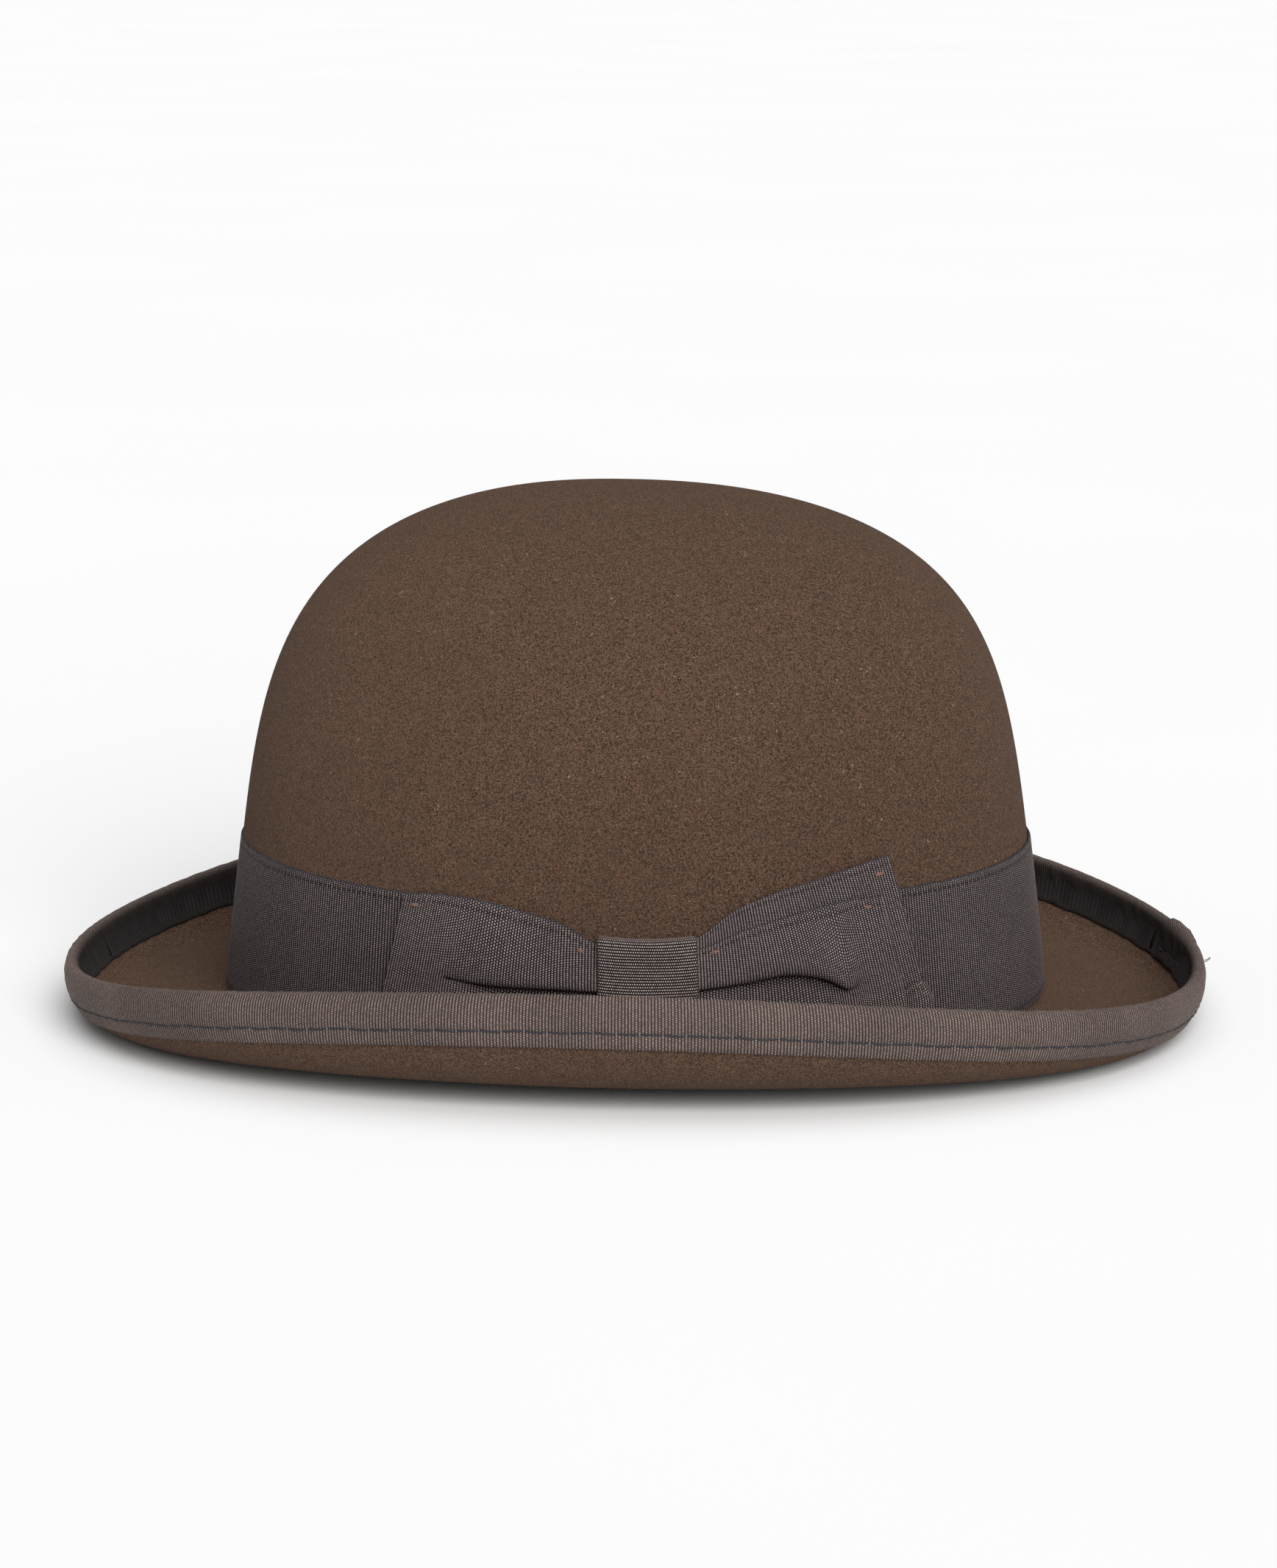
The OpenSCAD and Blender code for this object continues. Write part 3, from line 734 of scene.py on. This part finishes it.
def binding_stitches():
    """Lockstitches along the binding, on both faces of the brim, that dip into it at each end."""
    t, u = even_ring(rim_pt, BINDING_STITCH, 12)
    share = u / u[-1]
    ribs = share * round(run_along(rim_pt(t))[-1] / BINDING_RIB)
    d = seam_from_edge(share)
    f, arch = stitch_arch(u, 0.16)
    parts = []
    for inside in (False, True):
        stand = GAP + RIBBON_T + binding_shape(t, ribs, d, inside) + THREAD_R * 0.55 - 0.42 * (1 - arch)
        slant = 0.13 * (f - 0.5)
        lift = FELT_T + stand if inside else -stand
        parts.append(tube(edge_pt(t, d + slant, lift)[:-1], THREAD_R, closed=True))
    # A loose end of thread stands off the rim beside the join
    a = np.linspace(0, 1, 15)
    swing = np.sin(np.pi * a)
    loose = edge_pt(THREAD_END_T + 0.9 * a, 1.2 + 0.4 * np.cos(2 * np.pi * a), -(0.4 + 2.1 * swing))
    parts.append(tube(loose, LOOSE_R))
    make_piece("binding_seam_stitches", joined(parts), DARK_THREAD, "binding_stitching")


# ---- the bow

# Stations from the knot out to the fold. Each is [x at top, z at top, x at bottom, z at bottom,
# z of the panel's lower fold, share pleated, top edge's distance out, bulge, inner layer's
# distance out].
FRONT_LOOP = [
    [10, 34.0, 10, 16.0, 23.5, 1, 3.0, 0.5, 1.5],
    [0, 34.8, 0, 14.5, 23.6, 1, 2.8, 1.6, 1.3],
    [-9, 39.2, -9, 13.0, 24.0, 1, 2.6, 2.5, 1.1],
    [-20, 42.0, -23, 11.5, 24.0, 1, 2.3, 2.9, 1.0],
    [-30, 43.5, -34, 9.5, 21.6, 0.55, 2.0, 2.0, 1.0],
    [-39, 43.8, -44, 8.0, 17.0, 0, 1.9, 0.9, 1.0],
    [-47, 43.3, -53, 7.0, 14.0, 0, 2.1, 0.2, 1.1],
]
REAR_LOOP = [
    [14, 33.4, 14, 16.0, 23.4, 1, 3.6, 0.6, 2.7],
    [24, 33.6, 24, 15.0, 24.2, 1, 3.5, 1.5, 2.6],
    [33, 37.0, 34, 13.5, 25.4, 1, 3.2, 2.5, 2.4],
    [43, 39.8, 46, 12.0, 26.8, 1, 3.1, 3.2, 2.2],
    [52, 41.8, 57, 10.0, 23.6, 0.95, 3.0, 2.8, 2.2],
    [58, 42.8, 63, 8.7, 13.0, 0.15, 3.3, 1.3, 2.4],
    [65, 43.0, 70, 7.0, 12.0, 0, 4.2, 0.3, 2.5],
]
REAR_TAIL = [
    [14, 33.2, 14, 22.0, 20.0, 0, 2.0, 0.2, 1.2],
    [24, 36.0, 24, 21.0, 20.0, 0, 2.0, 0.3, 1.2],
    [33, 42.0, 35, 20.0, 20.0, 0, 1.9, 0.4, 1.2],
    [43, 45.7, 47, 19.0, 19.0, 0, 1.9, 0.4, 1.2],
    [52, 47.8, 58, 17.6, 17.0, 0, 1.9, 0.3, 1.2],
    [62, 50.3, 68, 16.5, 16.0, 0, 1.9, 0.2, 1.2],
    [69.2, 51.8, 75.2, 15.5, 15.0, 0, 2.0, 0.1, 1.2],
]
# The tuck that stands out beside the rear loop's lower corner, at the end of the tail
TAIL_TUCK = [
    [69.8, 19.6, 69.4, 12.4, 16, 0, 3.0, 0.2, 2.5],
    [71.0, 21.8, 71.0, 12.0, 16, 0, 5.0, 1.4, 2.4],
    [73.0, 21.6, 73.8, 12.2, 16, 0, 5.6, 1.6, 2.0],
    [73.9, 20.0, 75.6, 13.6, 16, 0, 3.4, 0.6, 1.6],
]
# Where the control points of a section sit across the ribbon, as shares of its width
ACROSS = [0, 0.14, 0.28, 0.40, 0.47, 0.55, 0.72, 1]
LOOP_ROWS, LOOP_COLUMNS = 90, 26
TUCK_ROWS, TUCK_COLUMNS, TUCK_THREADS, TUCK_RIB = 30, 9, 18, 0.8 * BOW_RIB


def loop_layer(stations, q, v, inner):
    """Points of one layer of a folded ribbon: x, z and distance out, for shares q and v."""
    s = smooth(stations, q)[:, :, None]
    x_top, z_top, x_bot, z_bot, z_fold, pleat, out, bulge, near = (s[:, k] for k in range(9))
    x = x_top + (x_bot - x_top) * v
    if inner:
        low = z_bot + (z_fold - z_bot) * pleat
        return x, z_top - 0.4 + (low - z_top) * v, near + 0 * v
    a = np.array(ACROSS)
    flat_z = z_top + (z_bot - z_top) * a
    flat_out = out + bulge * np.sin(np.pi * a)
    drop = z_fold - z_top
    fold_z = np.hstack([z_top, z_top + 0.36 * drop, z_top + 0.72 * drop, z_fold + 0.7, z_fold + 0.1,
                        z_fold + 3.2, z_fold - 3.0, z_bot])
    fold_out = np.hstack([out, out + 0.6 * bulge, out + bulge, out + 0.95 * bulge, out + 0.2 * bulge,
                          near + 0.55, near + 0.4, near + 0.3])
    shape = np.stack([flat_z + (fold_z - flat_z) * pleat, flat_out + (fold_out - flat_out) * pleat])
    place = np.interp(v, a, np.linspace(0, 1, len(a)))
    z, out = smooth(np.moveaxis(shape, 2, 0), place).transpose(1, 2, 0)
    return x, z, out


def folded_path(stations, v):
    """The whole ribbon's middle surface: out along the inner layer, round the fold and back."""
    q = np.linspace(0, 1, LOOP_ROWS)
    way = np.sign(stations[-1][0] - stations[0][0])
    inner = loop_layer(stations, q, v, True)
    outer = loop_layer(stations, q[::-1], v, False)
    a = np.radians(np.linspace(0, 180, 9)[1:-1])[:, None]
    near, far = [k[-1] for k in inner], [k[0] for k in outer]
    r, f = (far[2] - near[2]) / 2, (1 - np.cos(a)) / 2
    arc = [start + (end - start) * f for start, end in zip(near, far)]
    arc[0] = arc[0] + way * r * np.sin(a)
    return [np.vstack([i, c, o]) for i, c, o in zip(inner, arc, outer)]


def ribbed(points, pitch):
    """The same surface with even rows along its middle, several to each rib, and the ribs so far."""
    run = run_along(points[:, points.shape[1] * 2 // 5])
    ribs = max(1, round(run[-1] / pitch))
    even = np.linspace(0, run[-1], ribs * SAMPLES_PER_RIB + 1)
    k = np.clip(np.searchsorted(run, even, side="right") - 1, 0, len(run) - 2)
    f = ((even - run[k]) / (run[k + 1] - run[k]))[:, None, None]
    return points[k] * (1 - f) + points[k + 1] * f, even / even[-1] * ribs


def ribbon_solid(middle, pitch, threads, v, depth=RIB_DEPTH):
    """A ribbon with ribs across it, from its middle surface: rows along it, and columns at v."""
    middle, u = ribbed(middle, pitch)
    normal = np.cross(np.gradient(middle, axis=0), np.gradient(middle, axis=1))
    normal /= np.linalg.norm(normal, axis=2)[..., None]
    rim = np.minimum(1, 0.45 + np.minimum(v, 1 - v) * 45)
    half = (RIBBON_T / 2 + rib_relief(u, depth)[:, None]) * rim[None]
    front, back = middle + normal * half[..., None], middle - normal * half[..., None]
    loop = np.concatenate([front, back[:, ::-1]], axis=1)
    across = np.concatenate([v, v[::-1], v[:1]]) * threads
    return outward(grid(loop, u[:, None], across[None], wrap_cols=True,
                        poles=(middle[0].mean(0), middle[-1].mean(0))))


def even_across(count):
    """Shares across a ribbon, closer together at its two edges."""
    inside = np.linspace(0.03, 0.97, count)
    return np.concatenate([[0, 0.012], inside, [0.988, 1]])


def bow_part(name, stations, node, material, tuck=None):
    v = even_across(LOOP_COLUMNS)
    middle = bow_pt(*folded_path(stations, v))
    parts = [ribbon_solid(middle, BOW_RIB, THREADS["bow"], v)]
    if tuck:
        v = even_across(TUCK_COLUMNS)
        bump = loop_layer(tuck, np.linspace(0, 1, TUCK_ROWS), v, False)
        parts.append(ribbon_solid(bow_pt(*bump), TUCK_RIB, TUCK_THREADS, v))
    piece = make_piece(name, joined(parts), material, node)
    return piece


def bow_knot(material):
    """The sleeve round the gathered middle of the bow, with its ribs lying along the hat."""
    low, depth, corners = BAND_OUT + GAP, 4.6, 0.42
    even = np.linspace(0, 2 * np.pi, 1441)
    a = even - np.sin(4 * even) / 4  # closer together where the section turns fastest

    def section(a, x, shrink):
        sag = 1 - ((x - KNOT_X) / (KNOT_W / 2)) ** 2
        z = KNOT_Z + (KNOT_H / 2 - shrink) * spow(np.sin(a), corners)
        z = z - sag * (0.55 + 0.14 * np.sin(a))
        out = low + depth / 2 + (depth / 2 - shrink - 0.105 * sag) * spow(np.cos(a), corners)
        ripple = 0.16 * np.sin(a * 3 + x * 0.4) * (np.cos(a) > 0) * np.cos(a)
        return z, out + ripple

    z, out = section(a, KNOT_X, 0)
    run = run_along(np.stack([z, out], -1))
    ribs = round(run[-1] / KNOT_RIB)
    even = np.linspace(0, run[-1], ribs * 6 + 1)
    a = np.interp(even, run, a)
    u = even / run[-1] * ribs
    rows, v = [], []
    across = even_across(20)
    for inner in (False, True):
        for f in across[::-1] if inner else across:
            x = KNOT_X + KNOT_W * (f - 0.5)
            edge = min(1, 0.4 + min(f, 1 - f) * 30)
            shrink = RIBBON_T if inner else (1 - edge) * 0.4 - rib_relief(u) * edge
            z, out = section(a, x, shrink)
            rows.append(bow_pt(x + 0 * a, z, out)[:-1])
            v.append(f * THREADS["knot"])
    piece = make_piece("bow_knot_sleeve", ring(rows, u, v), material, "bow_knot")
    return piece


# Hand stitches that hold the bow's folds: [x, z, length, slant in degrees, strands]
TACKS = [
    [-44.5, 40.8, 1.8, 6, 2],
    [-3.4, 33.2, 1.7, -18, 2],
    [27.3, 33.0, 1.8, 22, 2],
    [66.9, 47.8, 1.7, 14, 2],
    [62.6, 40.9, 1.4, 5, 2],
    [69.4, 22.8, 1.3, 10, 1],
    [71.6, 21.4, 1.4, 35, 1],
]
STRAND_GAP = 0.34


def bow_tacks(under):
    """Short hand stitches, each laid on whichever ribbon is outermost there."""
    graph = bpy.context.evaluated_depsgraph_get()
    trees = [BVHTree.FromObject(piece, graph) for piece in under]

    def surface(x, z):
        start, foot = Vector(bow_pt(x, z, 14.0) * MM), Vector(bow_pt(x, z, 0.0) * MM)
        ray = (foot - start).normalized()
        hits = [tree.ray_cast(start, ray, 0.02) for tree in trees]
        near = min(hit[3] for hit in hits if hit[3] is not None)
        return np.array(start + ray * near) / MM, -np.array(ray)

    parts = []
    for x, z, length, slant, strands in TACKS:
        c, s = math.cos(math.radians(slant)), math.sin(math.radians(slant))
        for k in range(strands):
            side = (k - (strands - 1) / 2) * STRAND_GAP
            path = []
            for f in np.linspace(-0.5, 0.5, 11):
                at, off = surface(x + length * f * c - side * s, z + length * f * s + side * c)
                path.append(at + off * (0.26 - 2.6 * abs(f) ** 3))
            parts.append(tube(path, TACK_R, 8))
    make_piece("bow_hand_tacks", joined(parts), RUST_THREAD, "bow_tacks")


# ---- inside the hat

INSIDE_TURNS, LINING_TURNS = 420, 720
BUTT_REACH = 1.4  # degrees either side of the leather's butted ends, meshed finely
LEATHER_RUN, SATIN_RUN = 600, 520  # what the leather's and the satin's patterns count as once round


def wall_shell(t, heights, outer, inner, face):
    """A shell against the crown's wall. face(f) is how far its inner face swells inward, a share f
    of the way up it."""
    rows, v = [], []
    for z in heights[::-1]:
        rows.append(crown_pt(t, z, outer + 0 * t))
        v.append(z - heights[0])
    for k, z in enumerate(heights):
        f = (z - heights[0]) / (heights[-1] - heights[0])
        thin = 0.3 * (inner - outer) if k in (0, len(heights) - 1) else 0
        rows.append(crown_pt(t, z, inner - thin + face(f)))
        v.append(z - heights[0])
    return rows, v


def sweatband():
    """The leather band, butted at the back and turned up inside the crown."""
    near = np.linspace(-BUTT_REACH, BUTT_REACH, 29)
    t = np.concatenate([near, np.linspace(BUTT_REACH, 360 - BUTT_REACH, INSIDE_TURNS)[1:-1]])
    shares = (0, 0.008, 0.03, 0.08, 0.16, 0.27, 0.39, 0.52, 0.65, 0.77, 0.87, 0.94, 0.975, 0.992, 1)
    heights = [LEATHER_Z + LEATHER_W * f for f in shares]
    at = np.where(t > 180, t - 360, t)

    def face(f):
        butt = -0.55 * np.exp(-(at / 0.17) ** 2) + 0.16 * np.exp(-((np.abs(at) - 0.75) / 0.5) ** 2)
        return butt + wander(t / 360, 9, 0.16, 41) * f + wander(t / 360, 26, 0.07, 42) * f * f

    rows, v = wall_shell(t, heights, LEATHER_IN, LEATHER_IN + LEATHER_T, face)
    part = ring(rows, np.append(t, t[0] + 360) / 360 * LEATHER_RUN, v)
    make_piece("leather_sweatband", part, leather_material(), "sweatband")


REED_IN = (TAPE_IN + TAPE_OUT) / 2
TAPE_SEAM = TAPE_HEM - 1.4  # height of the stitches through the tape


def reed_core():
    t = np.linspace(0, 360, 361)[:-1]
    core = tube(crown_pt(t, REED_Z, REED_IN + 0 * t), REED_D / 2, 10, True)
    make_piece("sweatband_reed_core", core, reed_material(), "sweatband_reed")


def reed_tape():
    """The tape, from its top behind the leather round the reed to its hem inside."""
    t, u = even_ring(lambda a: crown_pt(a, REED_Z, TAPE_OUT), TAPE_RIB, 4)
    r = (TAPE_OUT - TAPE_IN) / 2
    rows, v = [], []
    # Each row: its height and its side of the reed, or its angle round the reed and 0
    outside = [(TAPE_TOP, -1)] + [(a, 0) for a in range(180, 361, 20)] + [
        (TAPE_HEM - 2.6, 1), (TAPE_SEAM, 1), (TAPE_HEM - 0.4, 1), (TAPE_HEM, 1)]
    for thin in (0.0, TAPE_T):
        for at, side in outside if not thin else outside[::-1]:
            s = r - thin + (rib_relief(u, TAPE_DEPTH) if not thin else 0)
            z = at if side else REED_Z + s * math.sin(math.radians(at))
            turn = side if side else math.cos(math.radians(at))
            dent = 0.12 * (at == TAPE_SEAM) if side else 0
            waver = wander(u / u[-1], 80, 0.12, 44) if at == TAPE_HEM else 0
            rows.append(crown_pt(t, z + waver, REED_IN + (s - dent) * turn)[:-1])
            v.append(0.9 * len(v))
    ribbon = grosgrain("tape_ribbon", colour(92, 82, 78), colour(34, 30, 30), THREADS["tape"])
    tape = make_piece("reed_tape_ribbon", ring(rows, u, v), ribbon, "reed_tape")


def reed_tape_stitches():
    t, u = even_ring(lambda a: crown_pt(a, TAPE_SEAM, TAPE_OUT), TAPE_STITCH, 10)
    f, arch = stitch_arch(u, 0.2)
    path = crown_pt(t, TAPE_SEAM + 0.2 * (f - 0.5), TAPE_OUT - 0.4 * (1 - arch))
    thread = tube(path[:-1], TAPE_THREAD_R, closed=True)
    make_piece("reed_tape_stitches", thread, DARK_THREAD, "reed_tape_stitching")


def back_pt(y, z, inset):
    """Points inside the back of the crown, y to the wearer's right of its middle."""
    t = np.sign(y) * np.degrees(np.arcsin((np.abs(y) / FELT_B) ** (OVAL_N / 2)))
    return crown_pt(t, z, inset)


def back_seam():
    """Zigzag stitches over the butted ends of the leather."""
    count, first, pitch, half, width = 12, 20, 2.4, 1.25, 1.5
    parts = []
    surface = LEATHER_IN + LEATHER_T
    for k in range(count):
        lean = 1 if k % 2 == 0 else -1
        f = np.linspace(-1, 1, 13)
        stand = 0.30 - 0.85 * np.abs(f) ** 4
        path = back_pt(width * f, first + k * pitch + lean * half * f, surface + stand)
        parts.append(tube(path, SEAM_THREAD_R))
    make_piece("sweatband_seam_stitches", joined(parts), TAN_THREAD,
               "sweatband_back_seam")


def back_bow(material):
    """The small flat bow on the sweatband's seam: two loops and the ribbon round their middle."""
    v = even_across(8)
    surface = LEATHER_IN + LEATHER_T + 0.35
    mid_z = 11
    q = np.linspace(0, 1, 40)[:, None]
    parts = []
    for side in (-1, 1):
        half = 1.7 + 1.7 * np.sin(q * np.pi * 0.62)
        layers = []
        for layer in (0, 1):
            stand = 0.25 + layer * (0.35 + 0.75 * np.sin(np.pi * q ** 0.8))
            y = side * (0.4 + 10.4 * q) + 0 * v
            z = mid_z + half * (1 - 2 * v) * (1 - 0.06 * layer)
            layers.append(np.stack(np.broadcast_arrays(y, z, surface + stand + 0 * v)))
        whole = np.concatenate([layers[0], layers[1][:, ::-1]], axis=1)
        parts.append(ribbon_solid(back_pt(*whole), SMALL_RIB, 12, v, FINE_DEPTH))
    a = np.linspace(0, 2 * np.pi, 60)[:, None]
    z = mid_z + 2.1 * spow(np.sin(a), 0.5) + 0 * v
    stand = surface + 1.0 + 0.95 * spow(np.cos(a), 0.5) + 0 * v
    parts.append(ribbon_solid(back_pt(3.4 * (v - 0.5) + 0 * a, z, stand), SMALL_RIB, 6, v, FINE_DEPTH))
    make_piece("sweatband_small_bow", joined(parts), material, "sweatband_back_bow")


def lining_side():
    """The strip of satin up the crown's wall, gathered into the seam at its top."""
    t = np.linspace(0, 360, LINING_TURNS + 1)[:-1]
    share = t / 360
    heights = np.concatenate([[LINING_Z, LINING_Z + 0.5], np.linspace(LINING_Z + 3, SEAM_Z - 3, 26),
                              [SEAM_Z - 1.2, SEAM_Z - END_GAP]])

    def gathers(f):
        folds = wander(share, 46, 0.34, 51) * f ** 1.4 + wander(share, 15, 0.3, 52) * np.sin(np.pi * f)
        tilt = wander(share + f * 0.012, 88, 0.16, 53) * f ** 3
        return 0.45 * np.sin(np.pi * f) + np.maximum(-0.1, folds + tilt) * (1 - step(0.97, 1, f))

    rows, v = wall_shell(t, heights, LINING_IN, LINING_IN + SATIN_T, gathers)
    part = ring(rows, np.linspace(0, SATIN_RUN, len(t) + 1), v)
    satin = satin_material("satin", colour(150, 118, 88))
    side = make_piece("satin_lining_side", part, satin, "lining_side")


TIP_ROWS, TIP_EASE = 26, 2.2  # the rows are closer together towards the tip's centre


def lining_tip():
    """The oval of satin under the crown's top, a little rucked along its seam."""
    t = np.linspace(0, 360, LINING_TURNS + 1)[:-1]
    share = t / 360
    low = SEAM_Z + END_GAP
    rows = []
    for depth, swell, order in ((LINING_IN, 0, -1), (LINING_IN + SATIN_T, 1, 1)):
        h = CROWN_H - depth
        layer = []
        for k in range(TIP_ROWS):
            z = low + (h - low) * (1 - (1 - k / TIP_ROWS) ** TIP_EASE)
            f = (z - low) / (h - low)
            ruck = wander(share, 40, 0.3, 54) * (1 - f) ** 3 + wander(share, 7, 0.35, 55) * (1 - f) * f * 2
            swelling = swell * (0.25 * f + np.maximum(-0.1, ruck))
            layer.append(crown_pt(t, z - swelling * f, depth + swelling))
        rows += layer[::order]
    top = np.array([-TOP_FORWARD, 0, REST_Z + CROWN_H - LINING_IN])
    poles = (top, top - [0, 0, SATIN_T + 0.25])
    points = np.stack(rows)
    flat_x, flat_y = np.concatenate([points, points[:, :1]], 1)[..., :2].transpose(2, 0, 1)
    part = grid(points, flat_x, flat_y, wrap_cols=True, poles=poles)
    satin = satin_material("satin_tip", colour(156, 124, 94))
    tip = make_piece("satin_lining_tip", part, satin, "lining_tip")


def lining_seam():
    t, u = even_ring(lambda a: crown_pt(a, SEAM_Z, LINING_IN + SATIN_T), LINING_STITCH, 10)
    f, arch = stitch_arch(u, 0.2)
    path = crown_pt(t, SEAM_Z + 0.35 * (f - 0.5), LINING_IN + SATIN_T + 0.35 - 0.5 * (1 - arch))
    thread = tube(path[:-1], SEAM_THREAD_R, closed=True)
    make_piece("lining_seam_stitches", thread, thread_material("satin_thread", colour(122, 94, 70)),
               "lining_seam_thread")


# ---- camera, light and floor

ELEVATION, TURN, DISTANCE = math.radians(13.7), math.radians(6), 1.2
AIM_Z, AIM_RIGHT, LENS, SENSOR = 0.0578, 0.001, 130.9, 36
FLOOR_HALF = 40


def make_camera():
    data = bpy.data.cameras.new("camera")
    data.lens, data.sensor_width, data.sensor_fit = LENS, SENSOR, "HORIZONTAL"
    data.clip_start, data.clip_end = 0.05, 100
    camera = new_object("camera", data)
    level = DISTANCE * math.cos(ELEVATION)
    eye = Vector((level * math.sin(TURN), -level * math.cos(TURN),
                  REST_Z * MM + DISTANCE * math.sin(ELEVATION)))
    aim = Vector((AIM_RIGHT * math.cos(TURN), AIM_RIGHT * math.sin(TURN), AIM_Z))
    camera.location = eye
    camera.rotation_euler = (aim - eye).to_track_quat("-Z", "Y").to_euler()
    bpy.context.scene.camera = camera


def soft_sun(name, azimuth, elevation, strength, spread):
    """A broad soft light from far off. Angles are in degrees, and azimuth 0 is the wearer's left
    and 90 the back."""
    data = bpy.data.lights.new(name, "SUN")
    data.energy, data.angle = strength, math.radians(spread)
    lamp = new_object(name, data)
    level, a = math.cos(math.radians(elevation)), math.radians(azimuth)
    source = Vector((level * math.sin(a), -level * math.cos(a), math.sin(math.radians(elevation))))
    lamp.rotation_euler = source.to_track_quat("Z", "Y").to_euler()


def studio():
    scene = bpy.context.scene
    scene.world = world = bpy.data.worlds.new("studio")
    world.use_nodes = True
    sky = world.node_tree.nodes["Background"]
    sky.inputs["Color"].default_value = (1, 1, 1, 1)
    sky.inputs["Strength"].default_value = 0.22
    soft_sun("key_light", azimuth=22, elevation=32, strength=3.1, spread=45)
    soft_sun("top_light", azimuth=60, elevation=82, strength=1.05, spread=80)
    corners = [(x * FLOOR_HALF, y * FLOOR_HALF, 0) for x, y in ((-1, -1), (1, -1), (1, 1), (-1, 1))]
    mesh = bpy.data.meshes.new("floor")
    mesh.from_pydata(corners, [], [(0, 1, 2, 3)])
    mesh.materials.append(floor_material())
    new_object("floor", mesh)
    scene.view_settings.view_transform, scene.view_settings.look = "Standard", "None"


make_camera()
studio()
felt_body()
hat_band()
brim_binding()
binding_stitches()
# The bow and the knot are the band's grosgrain, painted lighter, the knot most and with more contrast:
# painted highlight for the light they catch more than the band does.
BOW = grosgrain("bow_ribbon", colour(136, 121, 119), colour(22, 18, 19), THREADS["bow"], line=0.6)
KNOT = grosgrain("knot_ribbon", colour(148, 132, 127), colour(10, 8, 9), THREADS["knot"])
loops = [bow_part("bow_front_loop_ribbon", FRONT_LOOP, "bow_front_loop", BOW),
         bow_part("bow_rear_loop_ribbon", REAR_LOOP, "bow_rear_loop", BOW),
         bow_part("bow_rear_tail_ribbon", REAR_TAIL, "bow_rear_tail", BOW, TAIL_TUCK),
         bow_knot(KNOT)]
bow_tacks(loops)
sweatband()
reed_core()
reed_tape()
reed_tape_stitches()
back_seam()
back_bow(BOW)
lining_side()
lining_tip()
lining_seam()
